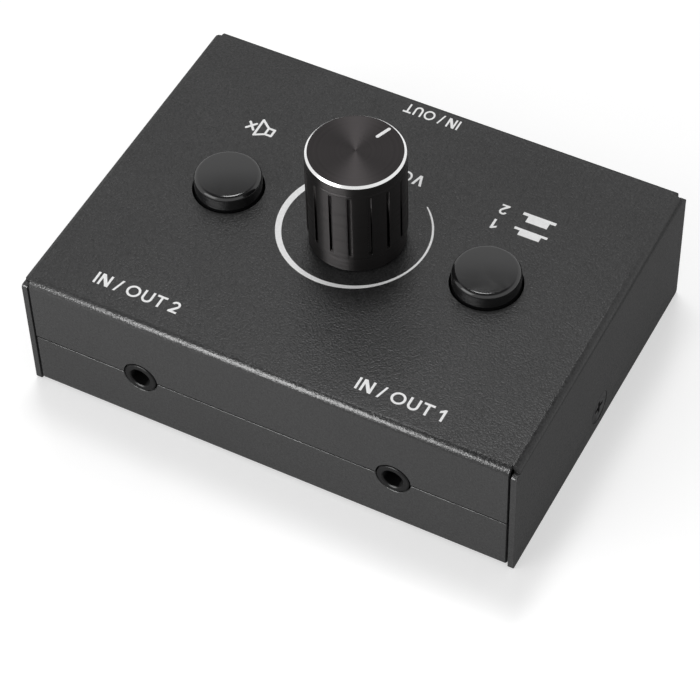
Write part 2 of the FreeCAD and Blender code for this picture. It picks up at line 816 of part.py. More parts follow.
def knob_core():
    """Return the moulded insert that grips the D-shaped shaft."""
    core = rod(knob_x, knob_y, knob_core_radius, knob_core_low, knob_core_top)
    radius = shaft_radius + knob_shaft_clearance
    socket = rod(knob_x, knob_y, radius, knob_core_low - past, knob_socket_top)
    flat = box((knob_x - radius, knob_y + shaft_flat_offset + knob_shaft_clearance,
                shaft_top - shaft_flat_length + knob_shaft_clearance),
               (knob_x + radius, knob_y + radius + past, knob_socket_top + past))
    return core.cut(socket.cut(flat))


def build():
    """Return every node's shape by name."""
    nodes = {
        "top_cover": top_cover(),
        "bottom_tray": bottom_tray(),
        "cover_screws": cover_screws(),
        "circuit_board": circuit_board(),
        "board_standoffs": board_standoffs(),
        "board_screws": board_screws(),
        "pot_strap": pot_strap(),
        "pot_rear_plate": pot_rear(),
        "pot_wafers": pot_wafers(),
        "pot_spacers": pot_spacers(),
        "pot_bushing": pot_bushing(),
        "pot_terminals": pot_terminals(),
        "pot_washer": pot_washer(),
        "pot_nut": pot_nut(),
        "pot_shaft": pot_shaft(),
        "pot_rotors": pot_rotors(),
        "pot_wipers": pot_wipers(),
        "knob_core": knob_core(),
        "knob_shell": knob_shell(),
    }
    for name, x, facing in jack_places():
        nodes[name + "_housing"] = jack_housing(x, facing)
        nodes[name + "_contacts"] = jack_contacts(x, facing)
    for name, (x, y) in button_places.items():
        nodes[name + "_switch_housing"] = switch_housing(x, y)
        nodes[name + "_switch_terminals"] = switch_terminals(x, y)
        nodes[name + "_switch_latch"] = switch_latch(x, y)
        nodes[name + "_switch_spring"] = switch_spring(x, y)
        nodes[name + "_switch_plunger"] = switch_plunger(x, y)
        nodes[name + "_button_cap"] = button_cap(x, y)
    return nodes


def main():
    """Write one STEP file per node."""
    os.makedirs("parts", exist_ok=True)
    for name, shape in build().items():
        if not shape.isValid() or shape.Volume <= 0:
            raise ValueError("bad shape: " + name)
        shape.exportStep("parts/" + name + ".step")
        print(name, len(shape.Solids), round(shape.Volume, 2))


main()
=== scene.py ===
import logging
import math
from dataclasses import dataclass, field
from enum import Enum
from typing import Iterable, Sequence

import bmesh
import bpy
from mathutils import Euler, Matrix, Vector


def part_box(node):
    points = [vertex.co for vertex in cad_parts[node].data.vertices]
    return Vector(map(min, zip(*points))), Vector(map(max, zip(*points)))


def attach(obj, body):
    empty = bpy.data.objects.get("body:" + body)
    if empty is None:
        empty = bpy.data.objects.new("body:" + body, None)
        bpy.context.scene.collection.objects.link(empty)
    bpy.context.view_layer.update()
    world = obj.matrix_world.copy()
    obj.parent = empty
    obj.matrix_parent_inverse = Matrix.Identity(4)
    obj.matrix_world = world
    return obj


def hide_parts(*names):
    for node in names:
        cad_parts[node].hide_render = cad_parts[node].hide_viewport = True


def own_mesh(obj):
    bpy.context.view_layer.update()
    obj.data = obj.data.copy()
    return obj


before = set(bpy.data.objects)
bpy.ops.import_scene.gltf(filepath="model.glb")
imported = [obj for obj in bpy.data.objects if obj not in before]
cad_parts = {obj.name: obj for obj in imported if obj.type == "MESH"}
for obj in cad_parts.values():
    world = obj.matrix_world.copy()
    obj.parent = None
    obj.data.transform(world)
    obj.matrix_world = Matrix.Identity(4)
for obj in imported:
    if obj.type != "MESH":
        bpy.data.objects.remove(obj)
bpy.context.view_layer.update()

log = logging.getLogger("selector_switch")

MM = 0.001                       # metres in a millimetre
Point2 = tuple[float, float]
Point3 = tuple[float, float, float]
Colour = tuple[float, float, float]


class Body(Enum):
    """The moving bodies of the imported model."""

    CASE = "case"
    KNOB = "volume_knob"
    SELECT = "select_button"
    MUTE = "mute_button"


class Slot(Enum):
    """The record's material slots."""

    CASE = "case"
    SCREW = "black_screw"
    JACK = "jack"
    BUTTON = "button"
    KNOB = "knob"
    SPRING = "spring"


# ------------------------------------------------------------------ drawing in millimetres

def arc(centre: Point2, radius: float, start: float, end: float, steps: int) -> list[Point2]:
    """Return points along an arc.

    Args:
        centre: The arc's centre.
        radius: Its radius.
        start: Angle of the first point, in degrees.
        end: Angle of the last point, in degrees.
        steps: How many straight runs the arc is divided into.

    Returns:
        steps + 1 points, from start to end.
    """
    turns = [math.radians(start + (end - start) * k / steps) for k in range(steps + 1)]
    return [(centre[0] + radius * math.cos(a), centre[1] + radius * math.sin(a)) for a in turns]


def softened(points: Sequence[Point2], radii: Sequence[float], steps: int = 5) -> list[Point2]:
    """Return an open outline with its corners rounded.

    Args:
        points: The outline's corners.
        radii: The radius at each corner; the first and the last are not used.
        steps: How many runs each rounded corner has.

    Returns:
        The outline's points, with an arc in place of each corner whose radius is above zero.
    """
    outline = [points[0]]
    for before, corner, after, radius in zip(points, points[1:], points[2:], radii[1:]):
        here, back, on = Vector(corner), Vector(before), Vector(after)
        to_back, to_on = (back - here).normalized(), (on - here).normalized()
        opening = to_back.angle(to_on)
        if radius <= 0.0 or opening > math.pi - 0.01:
            outline.append(corner)
            continue
        reach = radius / math.tan(opening / 2)
        middle = here + (to_back + to_on).normalized() * (radius / math.sin(opening / 2))
        first = here + to_back * reach - middle
        last = here + to_on * reach - middle
        turn = first.angle_signed(last)
        for k in range(steps + 1):
            spoke = Matrix.Rotation(-turn * k / steps, 2) @ first
            outline.append(tuple(middle + spoke))
    outline.append(points[-1])
    return outline


def lathe(bm: bmesh.types.BMesh, profile: Sequence[Point2], centre: Point2 = (0.0, 0.0),
          segments: int = 96) -> None:
    """Turn a profile about an upright axis into a closed surface.

    Args:
        bm: The mesh to draw into.
        profile: Points of (radius, height); a radius of zero is a pole.
        centre: Where the axis stands.
        segments: How many columns go round.
    """
    rings = []
    for radius, height in profile:
        if radius < 1e-6:
            rings.append([bm.verts.new((centre[0], centre[1], height))])
            continue
        rings.append([bm.verts.new((centre[0] + radius * math.cos(2 * math.pi * k / segments),
                                    centre[1] + radius * math.sin(2 * math.pi * k / segments),
                                    height)) for k in range(segments)])
    for low, high in zip(rings, rings[1:]):
        for k in range(segments):
            following = (k + 1) % segments
            corners = [low[k % len(low)], low[following % len(low)],
                       high[following % len(high)], high[k % len(high)]]
            unique = list(dict.fromkeys(corners))
            if len(unique) > 2:
                bm.faces.new(unique)


def slab(bm: bmesh.types.BMesh, outline: Sequence[Point2], low: float, high: float,
         holes: Iterable[Sequence[Point2]] = ()) -> None:
    """Draw an upright plate with a closed outline and any holes through it.

    Args:
        bm: The mesh to draw into.
        outline: The corners of the outer edge.
        low: Height of the underside.
        high: Height of the top.
        holes: The corners of each hole's edge.
    """
    sheets = []
    for height in (low, high):
        edges = []
        for ring in (outline, *holes):
            verts = [bm.verts.new((x, y, height)) for x, y in ring]
            edges += [bm.edges.new(pair) for pair in zip(verts, verts[1:] + verts[:1])]
        sheets.append(edges)
        bmesh.ops.triangle_fill(bm, edges=edges, use_beauty=True, use_dissolve=False)
    for under, over in zip(*sheets):
        a, b = under.verts
        d, c = over.verts
        bm.faces.new((a, b, c, d))


def box(bm: bmesh.types.BMesh, low: Point3, high: Point3) -> None:
    """Draw a box from its lowest to its highest corner."""
    corners = [(low[0], low[1]), (high[0], low[1]), (high[0], high[1]), (low[0], high[1])]
    slab(bm, corners, low[2], high[2])


def in_metres(bm: bmesh.types.BMesh, name: str) -> bpy.types.Object:
    """Turn a mesh drawn in millimetres into an object in metres, as it stands.

    Args:
        bm: The mesh, which is used up.
        name: The object's name.

    Returns:
        The object, at the origin.
    """
    bmesh.ops.scale(bm, vec=(MM, MM, MM), verts=bm.verts)
    mesh = bpy.data.meshes.new(name)
    bm.to_mesh(mesh)
    bm.free()
    piece = bpy.data.objects.new(name, mesh)
    bpy.context.scene.collection.objects.link(piece)
    return piece


def made(bm: bmesh.types.BMesh, name: str, sharp: float = 35.0) -> bpy.types.Object:
    """Turn a mesh drawn in millimetres into an object that is joined up and shaded.

    Args:
        bm: The mesh, which is used up.
        name: The object's name.
        sharp: Edges that turn by more than this many degrees stay sharp.

    Returns:
        The object, at the origin, with its faces outwards.
    """
    bmesh.ops.remove_doubles(bm, verts=bm.verts, dist=1e-4)
    bmesh.ops.recalc_face_normals(bm, faces=bm.faces)
    piece = in_metres(bm, name)
    smooth(piece, sharp)
    return piece


def smooth(piece: bpy.types.Object, sharp: float = 35.0) -> None:
    """Shade an object smooth, with its sharp edges kept."""
    piece.data.shade_smooth()
    piece.data.set_sharp_from_angle(angle=math.radians(sharp))


def straightened(normal: Vector) -> Vector:
    """Return the direction along X, Y or Z that is closest to a normal."""
    longest = max(range(3), key=lambda k: abs(normal[k]))
    return Vector([math.copysign(1.0, normal[k]) if k == longest else 0.0 for k in range(3)])


def keep_panels_flat(piece: bpy.types.Object) -> None:
    """Give an object's level and upright faces flat normals, and its rounded edges smooth ones.

    Args:
        piece: The object, whose flat panels all face along X, Y or Z.
    """
    mesh = piece.data
    mesh.shade_smooth()
    flat = [max(abs(c) for c in polygon.normal) > 0.998 for polygon in mesh.polygons]
    round_it: list[list[int]] = [[] for _ in mesh.vertices]
    for polygon in mesh.polygons:
        for vertex in polygon.vertices:
            round_it[vertex].append(polygon.index)
    normals = [Vector((0.0, 0.0, 0.0))] * len(mesh.loops)
    for polygon in mesh.polygons:
        for loop in polygon.loop_indices:
            near = [mesh.polygons[k] for k in round_it[mesh.loops[loop].vertex_index]
                    if mesh.polygons[k].normal.dot(polygon.normal) > 0.6]
            panels = [other for other in near if flat[other.index]]
            if flat[polygon.index]:
                normals[loop] = straightened(polygon.normal)
            elif panels:
                closest = max(panels, key=lambda other: other.normal.dot(polygon.normal))
                normals[loop] = straightened(closest.normal)
            else:
                normals[loop] = sum((other.normal for other in near), Vector()).normalized()
    mesh.normals_split_custom_set(normals)


def settle(piece: bpy.types.Object) -> bpy.types.Object:
    """Turn an object's modifiers into its plain mesh.

    Args:
        piece: The object, whose modifiers are used up.

    Returns:
        The same object with its final mesh.
    """
    graph = bpy.context.evaluated_depsgraph_get()
    graph.update()
    mesh = bpy.data.meshes.new_from_object(piece.evaluated_get(graph), depsgraph=graph)
    mesh.name = piece.name
    piece.modifiers.clear()
    piece.data = mesh
    return piece


def soften_edges(piece: bpy.types.Object, width: float, segments: int = 2,
                 angle: float = 40.0) -> bpy.types.Object:
    """Round an object's sharp edges and keep its flat faces flat.

    Args:
        piece: The object.
        width: The bevel's width in millimetres.
        segments: How many faces cross the bevel.
        angle: Edges that turn by more than this many degrees are rounded.

    Returns:
        The same object with its final mesh.
    """
    bevel = piece.modifiers.new("edges", "BEVEL")
    bevel.width = width * MM
    bevel.segments = segments
    bevel.limit_method = "ANGLE"
    bevel.angle_limit = math.radians(angle)
    bevel.loop_slide = False
    return settle(piece)


def combine(piece: bpy.types.Object, tool: bpy.types.Object, how: str) -> bpy.types.Object:
    """Join a tool to an object or cut it away, and remove the tool.

    Args:
        piece: The object that stays.
        tool: The object that is used up.
        how: UNION or DIFFERENCE.

    Returns:
        The object with its new mesh.
    """
    boolean = piece.modifiers.new("combine", "BOOLEAN")
    boolean.object = tool
    boolean.operation = how
    boolean.solver = "EXACT"
    settle(piece)
    bpy.data.objects.remove(tool)
    return piece


# ------------------------------------------------------------------ node trees

class Tree:
    """A node tree under construction, for shaders and for geometry."""

    def __init__(self, tree: bpy.types.NodeTree) -> None:
        """Start from an existing tree."""
        self.tree = tree

    def add(self, kind: str, **settings: object) -> bpy.types.Node:
        """Add a node.

        Args:
            kind: The node's Blender type.
            settings: Its attributes; a key that is not one sets the input of that name.

        Returns:
            The node.
        """
        node = self.tree.nodes.new(kind)
        for key, value in settings.items():
            if hasattr(node, key):
                setattr(node, key, value)
            else:
                self.feed(node.inputs[key.replace("_", " ")], value)
        return node

    def feed(self, socket: bpy.types.NodeSocket, value: object) -> None:
        """Link a socket to an output, or set its value."""
        if isinstance(value, bpy.types.NodeSocket):
            self.tree.links.new(value, socket)
        else:
            socket.default_value = value

    def math(self, operation: str, *values: object) -> bpy.types.NodeSocket:
        """Return the result of a maths node."""
        node = self.tree.nodes.new("ShaderNodeMath")
        node.operation = operation
        for socket, value in zip(node.inputs, values):
            self.feed(socket, value)
        return node.outputs[0]

    def remap(self, value: bpy.types.NodeSocket, low: object, high: object,
              start: float = 0.0, end: float = 1.0) -> bpy.types.NodeSocket:
        """Return a value that goes from low to high as the input goes from start to end."""
        node = self.tree.nodes.new("ShaderNodeMapRange")
        for name, given in (("Value", value), ("From Min", start), ("From Max", end),
                            ("To Min", low), ("To Max", high)):
            self.feed(node.inputs[name], given)
        return node.outputs["Result"]

    def blend(self, share: bpy.types.NodeSocket, first: object,
              second: object) -> bpy.types.NodeSocket:
        """Return a colour that goes from the first to the second with the share."""
        node = self.tree.nodes.new("ShaderNodeMix")
        node.data_type = "RGBA"
        self.feed(node.inputs[0], share)
        self.feed(node.inputs[6], first)
        self.feed(node.inputs[7], second)
        return node.outputs[2]


def declare(tree: bpy.types.NodeTree, side: str, names: dict[str, str]) -> None:
    """Give a node group its sockets.

    Args:
        tree: The node group.
        side: INPUT or OUTPUT.
        names: The type of each socket by its name, without the NodeSocket prefix.
    """
    for name, kind in names.items():
        tree.interface.new_socket(name, in_out=side, socket_type="NodeSocket" + kind)


def rgba(colour: Colour) -> tuple[float, float, float, float]:
    """Return an opaque colour."""
    return (*colour, 1.0)


def pebbled_relief() -> bpy.types.NodeTree:
    """Return the group for a fine pebbled skin, as on powder coat and moulded plastic.

    Inputs are Vector and Cell, the size of one pebble in metres. Height is the relief, from 0 to
    1, and Mottle a slow change over the surface, from 0 to 1.
    """
    group = bpy.data.node_groups.new("pebbled_relief", "ShaderNodeTree")
    declare(group, "INPUT", {"Vector": "Vector", "Cell": "Float"})
    declare(group, "OUTPUT", {"Height": "Float", "Mottle": "Float"})
    sheet = Tree(group)
    given = sheet.add("NodeGroupInput")
    scale = sheet.math("DIVIDE", 1.0, given.outputs["Cell"])
    pebbles = sheet.add("ShaderNodeTexVoronoi", feature="SMOOTH_F1", Randomness=1.0,
                        Smoothness=0.35, Scale=scale, Vector=given.outputs["Vector"])
    rough = sheet.add("ShaderNodeTexNoise", Scale=sheet.math("MULTIPLY", scale, 1.25),
                      Detail=1.5, Roughness=0.5, Distortion=0.4,
                      Vector=given.outputs["Vector"])
    slow = sheet.add("ShaderNodeTexNoise", Scale=70.0, Detail=2.0, Roughness=0.5,
                     Vector=given.outputs["Vector"])
    domes = sheet.remap(sheet.math("POWER", pebbles.outputs["Distance"], 2.0), 1.0, 0.0, 0.0, 0.5)
    worms = sheet.remap(rough.outputs["Fac"], 0.0, 1.0, 0.3, 0.7)
    height = sheet.math("ADD", sheet.math("MULTIPLY", domes, 0.35),
                        sheet.math("MULTIPLY", worms, 0.65))
    out = sheet.add("NodeGroupOutput")
    sheet.feed(out.inputs["Height"], height)
    sheet.feed(out.inputs["Mottle"], sheet.remap(slow.outputs["Fac"], 0.0, 1.0, 0.3, 0.7))
    return group


def turned_lines() -> bpy.types.NodeTree:
    """Return the group for the fine lines that a lathe leaves round an upright axis.

    Inputs are Vector, with its origin on the axis, and Pitch, the distance between lines in
    metres. Height is the relief, from 0 to 1, and Streak a change from line to line.
    """
    group = bpy.data.node_groups.new("turned_lines", "ShaderNodeTree")
    declare(group, "INPUT", {"Vector": "Vector", "Pitch": "Float"})
    declare(group, "OUTPUT", {"Height": "Float", "Streak": "Float"})
    sheet = Tree(group)
    given = sheet.add("NodeGroupInput")
    parts = sheet.add("ShaderNodeSeparateXYZ", Vector=given.outputs["Vector"])
    across = sheet.math("SQRT", sheet.math(
        "ADD", sheet.math("POWER", parts.outputs["X"], 2.0),
        sheet.math("POWER", parts.outputs["Y"], 2.0)))
    along = sheet.math("ADD", across, parts.outputs["Z"])
    lines = sheet.add("ShaderNodeTexNoise", noise_dimensions="1D", Scale=1.0, Detail=2.0,
                      Roughness=0.7, W=sheet.math("DIVIDE", along, given.outputs["Pitch"]))
    wide = sheet.add("ShaderNodeTexNoise", noise_dimensions="1D", Scale=0.12, Detail=1.0,
                     W=sheet.math("DIVIDE", along, given.outputs["Pitch"]))
    out = sheet.add("NodeGroupOutput")
    sheet.feed(out.inputs["Height"], lines.outputs["Fac"])
    sheet.feed(out.inputs["Streak"], sheet.remap(wide.outputs["Fac"], 0.0, 1.0, 0.3, 0.7))
    return group


def handling_marks() -> bpy.types.NodeTree:
    """Return the group for the faint smears and dust that handling leaves.

    Inputs are Vector and Spread, the size of a smear in metres. Smear and Dust are masks from 0
    to 1, and most of a surface has little of either.
    """
    group = bpy.data.node_groups.new("handling_marks", "ShaderNodeTree")
    declare(group, "INPUT", {"Vector": "Vector", "Spread": "Float"})
    declare(group, "OUTPUT", {"Smear": "Float", "Dust": "Float"})
    sheet = Tree(group)
    given = sheet.add("NodeGroupInput")
    scale = sheet.math("DIVIDE", 1.0, given.outputs["Spread"])
    smear = sheet.add("ShaderNodeTexNoise", Scale=scale, Detail=4.0, Roughness=0.55,
                      Distortion=1.2, Vector=given.outputs["Vector"])
    specks = sheet.add("ShaderNodeTexVoronoi", Scale=sheet.math("MULTIPLY", scale, 9.0),
                       Randomness=1.0, Vector=given.outputs["Vector"])
    out = sheet.add("NodeGroupOutput")
    sheet.feed(out.inputs["Smear"], sheet.remap(smear.outputs["Fac"], 0.0, 1.0, 0.45, 0.75))
    sheet.feed(out.inputs["Dust"], sheet.remap(specks.outputs["Distance"], 1.0, 0.0, 0.0, 0.09))
    return group


@dataclass(frozen=True)
class Effects:
    """The shader groups that several finishes share."""

    pebbles: bpy.types.NodeTree
    lines: bpy.types.NodeTree
    marks: bpy.types.NodeTree

    @classmethod
    def build(cls) -> "Effects":
        """Return the groups, each built once."""
        return cls(pebbled_relief(), turned_lines(), handling_marks())


# ------------------------------------------------------------------ finishes

@dataclass(frozen=True)
class Finish:
    """A surface: the plain values of its shader and what every finish starts from."""

    name: str
    colour: Colour
    roughness: float
    metallic: float = 0.0
    specular: float = 0.5
    ior: float = 1.5

    def start(self) -> tuple[Tree, bpy.types.Node, bpy.types.Material]:
        """Return a sheet, its shader and its material, with the plain values set."""
        material = bpy.data.materials.new(self.name)
        material.use_nodes = True
        material.diffuse_color = rgba(self.colour)
        sheet = Tree(material.node_tree)
        shader = material.node_tree.nodes["Principled BSDF"]
        sheet.feed(shader.inputs["Base Color"], rgba(self.colour))
        sheet.feed(shader.inputs["Roughness"], self.roughness)
        sheet.feed(shader.inputs["Metallic"], self.metallic)
        sheet.feed(shader.inputs["Specular IOR Level"], self.specular)
        sheet.feed(shader.inputs["IOR"], self.ior)
        return sheet, shader, material

    def place(self, sheet: Tree, centre: Point3 = (0.0, 0.0, 0.0)) -> bpy.types.NodeSocket:
        """Return Object coordinates with their origin moved to a point in millimetres."""
        where = sheet.add("ShaderNodeTexCoord")
        move = sheet.add("ShaderNodeMapping", Vector=where.outputs["Object"])
        move.inputs["Location"].default_value = [-c * MM for c in centre]
        return move.outputs["Vector"]

    def shade(self, share: float) -> Colour:
        """Return the finish's colour made lighter or darker by a share."""
        return tuple(min(1.0, c * (1.0 + share)) for c in self.colour)

    def relief(self, sheet: Tree, shader: bpy.types.Node, height: bpy.types.NodeSocket,
               strength: float, depth: float) -> None:
        """Give the shader a bump.

        Args:
            sheet: The material's sheet.
            shader: The shader.
            height: The relief, from 0 to 1.
            strength: How much of it shows.
            depth: The relief's depth in millimetres.
        """
        bump = sheet.add("ShaderNodeBump", Strength=strength, Distance=depth * MM, Height=height)
        sheet.feed(shader.inputs["Normal"], bump.outputs["Normal"])

    def build(self, effects: Effects) -> bpy.types.Material:
        """Return the material."""
        raise NotImplementedError


@dataclass(frozen=True)
class PebbledFinish(Finish):
    """Powder coat or moulded plastic: a pebbled skin with faint mottling and handling marks, and
    painted shade in the hollows between the pebbles.

    Where grazing is above zero, the skin dulls to that roughness as it turns edge-on.
    """

    cell: float = 0.5
    depth: float = 0.05
    strength: float = 0.5
    mottle: float = 0.12
    painted_valley_shade: float = 0.3
    painted_pit_shade: float = 0.9
    smeared: float = 0.86
    grazing: float = 0.0
    edge_on: Point2 = (0.25, 0.5)
    spread: float = 14.0

    def build(self, effects: Effects) -> bpy.types.Material:
        """Return the material."""
        sheet, shader, material = self.start()
        where = self.place(sheet)
        skin = sheet.add("ShaderNodeGroup", node_tree=effects.pebbles, Vector=where,
                         Cell=self.cell * MM)
        marks = sheet.add("ShaderNodeGroup", node_tree=effects.marks, Vector=where,
                          Spread=self.spread * MM)
        tone = sheet.blend(skin.outputs["Mottle"], rgba(self.shade(-self.mottle)),
                           rgba(self.shade(self.mottle)))
        # Painted shade: the base colour darkens in the hollows between the pebbles.
        sheet.feed(shader.inputs["Base Color"], sheet.blend(
            sheet.remap(skin.outputs["Height"], self.painted_valley_shade, 0.0), tone,
            rgba(self.shade(-self.painted_pit_shade))))
        rough = sheet.remap(marks.outputs["Smear"], self.roughness,
                            self.roughness * self.smeared)
        if self.grazing > 0.0:
            facing = sheet.add("ShaderNodeLayerWeight", Blend=0.5)
            rough = sheet.math("MAXIMUM", rough, sheet.remap(
                facing.outputs["Facing"], 0.0, self.grazing, *self.edge_on))
        sheet.feed(shader.inputs["Roughness"], rough)
        self.relief(sheet, shader, skin.outputs["Height"], self.strength, self.depth)
        return material


@dataclass(frozen=True)
class GlossFinish(Finish):
    """Polished moulded plastic with faint smears and a very slight orange-peel."""

    peel: float = 1.6

    def build(self, effects: Effects) -> bpy.types.Material:
        """Return the material."""
        sheet, shader, material = self.start()
        where = self.place(sheet)
        marks = sheet.add("ShaderNodeGroup", node_tree=effects.marks, Vector=where,
                          Spread=5.0 * MM)
        skin = sheet.add("ShaderNodeGroup", node_tree=effects.pebbles, Vector=where,
                         Cell=self.peel * MM)
        sheet.feed(shader.inputs["Base Color"], sheet.blend(
            marks.outputs["Dust"], rgba(self.colour), rgba(self.shade(0.6))))
        sheet.feed(shader.inputs["Roughness"], sheet.remap(
            marks.outputs["Smear"], self.roughness, self.roughness * 1.6))
        self.relief(sheet, shader, skin.outputs["Height"], 0.05, 0.01)
        return material


@dataclass(frozen=True)
class TurnedFinish(Finish):
    """Metal turned about an upright axis, with lines round it that stretch its highlights."""

    axis: Point3 = (0.0, 0.0, 0.0)
    pitch: float = 0.08
    depth: float = 0.004
    strength: float = 0.4
    stretch: float = 0.6
    streak: float = 0.15

    def build(self, effects: Effects) -> bpy.types.Material:
        """Return the material."""
        sheet, shader, material = self.start()
        where = self.place(sheet, self.axis)
        lines = sheet.add("ShaderNodeGroup", node_tree=effects.lines, Vector=where,
                          Pitch=self.pitch * MM)
        sheet.feed(shader.inputs["Anisotropic"], self.stretch)
        sheet.feed(shader.inputs["Anisotropic Rotation"], 0.25)
        sheet.feed(shader.inputs["Base Color"], sheet.blend(
            lines.outputs["Streak"], rgba(self.shade(-self.streak)),
            rgba(self.shade(self.streak))))
        sheet.feed(shader.inputs["Roughness"], sheet.remap(
            lines.outputs["Streak"], self.roughness * 0.9, self.roughness * 1.12))
        self.relief(sheet, shader, lines.outputs["Height"], self.strength, self.depth)
        self.round_axis(sheet, shader)
        return material

    def round_axis(self, sheet: Tree, shader: bpy.types.Node) -> None:
        """Turn the shader's tangent round the axis.

        With the quarter turn of Anisotropic Rotation, highlights then run across the lines.
        """
        spot = sheet.add("ShaderNodeNewGeometry")
        parts = sheet.add("ShaderNodeSeparateXYZ", Vector=spot.outputs["Position"])
        east = sheet.math("SUBTRACT", parts.outputs["X"], self.axis[0] * MM)
        north = sheet.math("SUBTRACT", parts.outputs["Y"], self.axis[1] * MM)
        tangent = sheet.add("ShaderNodeCombineXYZ", X=sheet.math("MULTIPLY", north, -1.0),
                            Y=east, Z=0.0)
        unit = sheet.add("ShaderNodeVectorMath", operation="NORMALIZE")
        sheet.feed(unit.inputs[0], tangent.outputs[0])
        sheet.feed(shader.inputs["Tangent"], unit.outputs[0])


@dataclass(frozen=True)
class PlatedFinish(Finish):
    """Plated or drawn metal with soft cloudy changes of tone and fine scuffs."""

    cloud: float = 2.5
    tint: float = 0.12

    def build(self, effects: Effects) -> bpy.types.Material:
        """Return the material."""
        sheet, shader, material = self.start()
        where = self.place(sheet)
        marks = sheet.add("ShaderNodeGroup", node_tree=effects.marks, Vector=where,
                          Spread=self.cloud * MM)
        skin = sheet.add("ShaderNodeGroup", node_tree=effects.pebbles, Vector=where,
                         Cell=0.15 * MM)
        sheet.feed(shader.inputs["Base Color"], sheet.blend(
            marks.outputs["Smear"], rgba(self.colour), rgba(self.shade(-self.tint))))
        sheet.feed(shader.inputs["Roughness"], sheet.remap(
            marks.outputs["Smear"], self.roughness, self.roughness * 1.4))
        self.relief(sheet, shader, skin.outputs["Height"], 0.15, 0.01)
        return material


@dataclass(frozen=True)
class SolderMaskFinish(Finish):
    """Solder mask over copper tracks, which show as a lighter, raised pattern."""

    track: float = 2.54

    def build(self, effects: Effects) -> bpy.types.Material:
        """Return the material."""
        sheet, shader, material = self.start()
        where = self.place(sheet)
        cells = sheet.add("ShaderNodeTexBrick", Vector=where, Scale=1.0 / (self.track * MM),
                          offset=0.5, squash=1.0, Color1=(0, 0, 0, 1), Color2=(0, 0, 0, 1),
                          Mortar=(1, 1, 1, 1))
        sheet.feed(cells.inputs["Mortar Size"], 0.12)
        sheet.feed(cells.inputs["Brick Width"], 1.0)
        sheet.feed(cells.inputs["Row Height"], 0.5)
        marks = sheet.add("ShaderNodeGroup", node_tree=effects.marks, Vector=where,
                          Spread=9.0 * MM)
        copper = sheet.math("MULTIPLY", cells.outputs["Color"], marks.outputs["Smear"])
        sheet.feed(shader.inputs["Base Color"], sheet.blend(
            copper, rgba(self.colour), rgba(self.shade(0.9))))
        sheet.feed(shader.inputs["Roughness"], sheet.remap(copper, self.roughness, 0.22))
        self.relief(sheet, shader, copper, 0.6, 0.03)
        return material


@dataclass(frozen=True)
class InkFinish(Finish):
    """Screen-printed ink, a little thin over the pebbles beneath it, with painted shade in
    the hollows between them.
    """

    cell: float = 0.5

    def build(self, effects: Effects) -> bpy.types.Material:
        """Return the material."""
        sheet, shader, material = self.start()
        where = self.place(sheet)
        skin = sheet.add("ShaderNodeGroup", node_tree=effects.pebbles, Vector=where,
                         Cell=self.cell * MM)
        # Painted shade: the ink is a little darker in the hollows of its pebbled relief.
        sheet.feed(shader.inputs["Base Color"], sheet.blend(
            skin.outputs["Height"], rgba(self.shade(-0.1)), rgba(self.colour)))
        sheet.feed(shader.inputs["Roughness"], sheet.remap(
            skin.outputs["Mottle"], self.roughness, self.roughness * 1.2))
        self.relief(sheet, shader, skin.outputs["Height"], 0.25, 0.03)
        return material


KNOB_AXIS: Point3 = (0.2, -0.1, 0.0)


@dataclass(frozen=True)
class Palette:
    """Every finish of the object."""

    case: Finish = PebbledFinish("powder_coat_black", (0.037, 0.037, 0.0375), 0.33,
                                 specular=0.5, ior=1.42, cell=0.36, depth=0.052, strength=0.75,
                                 painted_valley_shade=0.85, grazing=0.8)
    black_screw: Finish = PlatedFinish("black_oxide", (0.02, 0.02, 0.021), 0.62, ior=1.3)
    board: Finish = SolderMaskFinish("solder_mask_green", (0.02, 0.11, 0.045), 0.35)
    plated: Finish = PlatedFinish("zinc_plate", (0.62, 0.62, 0.6), 0.3, 1.0)
    jack: Finish = PebbledFinish("jack_moulding", (0.006, 0.006, 0.0063), 0.35, specular=0.5,
                                 ior=1.25, cell=0.3, depth=0.02, strength=0.2, grazing=0.85)
    contact: Finish = PlatedFinish("tinned_brass", (0.72, 0.66, 0.5), 0.28, 1.0)
    housing: Finish = PebbledFinish("switch_moulding", (0.035, 0.035, 0.036), 0.5, cell=0.25,
                                    depth=0.03, strength=0.3)
    plunger: Finish = PebbledFinish("plunger_moulding", (0.72, 0.72, 0.69), 0.45, cell=0.3,
                                    depth=0.02, strength=0.2, mottle=0.04)
    spring: Finish = PlatedFinish("spring_wire", (0.6, 0.6, 0.6), 0.25, 1.0, cloud=1.0)
    pot: Finish = PebbledFinish("potentiometer_moulding", (0.03, 0.03, 0.032), 0.5, cell=0.3,
                                depth=0.03, strength=0.3)
    wafer: Finish = PebbledFinish("phenolic_wafer", (0.28, 0.15, 0.06), 0.5, cell=0.35,
                                  depth=0.03, strength=0.3, mottle=0.25)
    shaft: Finish = TurnedFinish("turned_aluminium", (0.72, 0.72, 0.73), 0.28, 1.0,
                                 axis=KNOB_AXIS)
    knob: Finish = TurnedFinish("black_anodised", (0.02, 0.019, 0.019), 0.45, 1.0,
                                axis=KNOB_AXIS, pitch=0.1, stretch=1.0, depth=0.001,
                                strength=0.03, streak=0.04)
    knob_face: Finish = TurnedFinish("black_anodised_spun", (0.042, 0.0385, 0.039), 0.4, 1.0,
                                     axis=KNOB_AXIS, pitch=0.05, stretch=0.8, depth=0.001,
                                     strength=0.1, streak=0.06)
    cut_edge: Finish = TurnedFinish("bright_cut_edge", (0.82, 0.82, 0.82), 0.2, 1.0,
                                    axis=KNOB_AXIS, pitch=0.05, stretch=0.4, depth=0.001,
                                    streak=0.04)
    button: Finish = GlossFinish("gloss_black", (0.008, 0.008, 0.0083), 0.13, ior=1.6)
    ink: Finish = InkFinish("white_ink", (0.95, 0.95, 0.95), 0.5)

    def built(self, effects: Effects) -> dict[str, bpy.types.Material]:
        """Return every material by its finish's field name."""
        return {name: getattr(self, name).build(effects) for name in self.__dataclass_fields__}


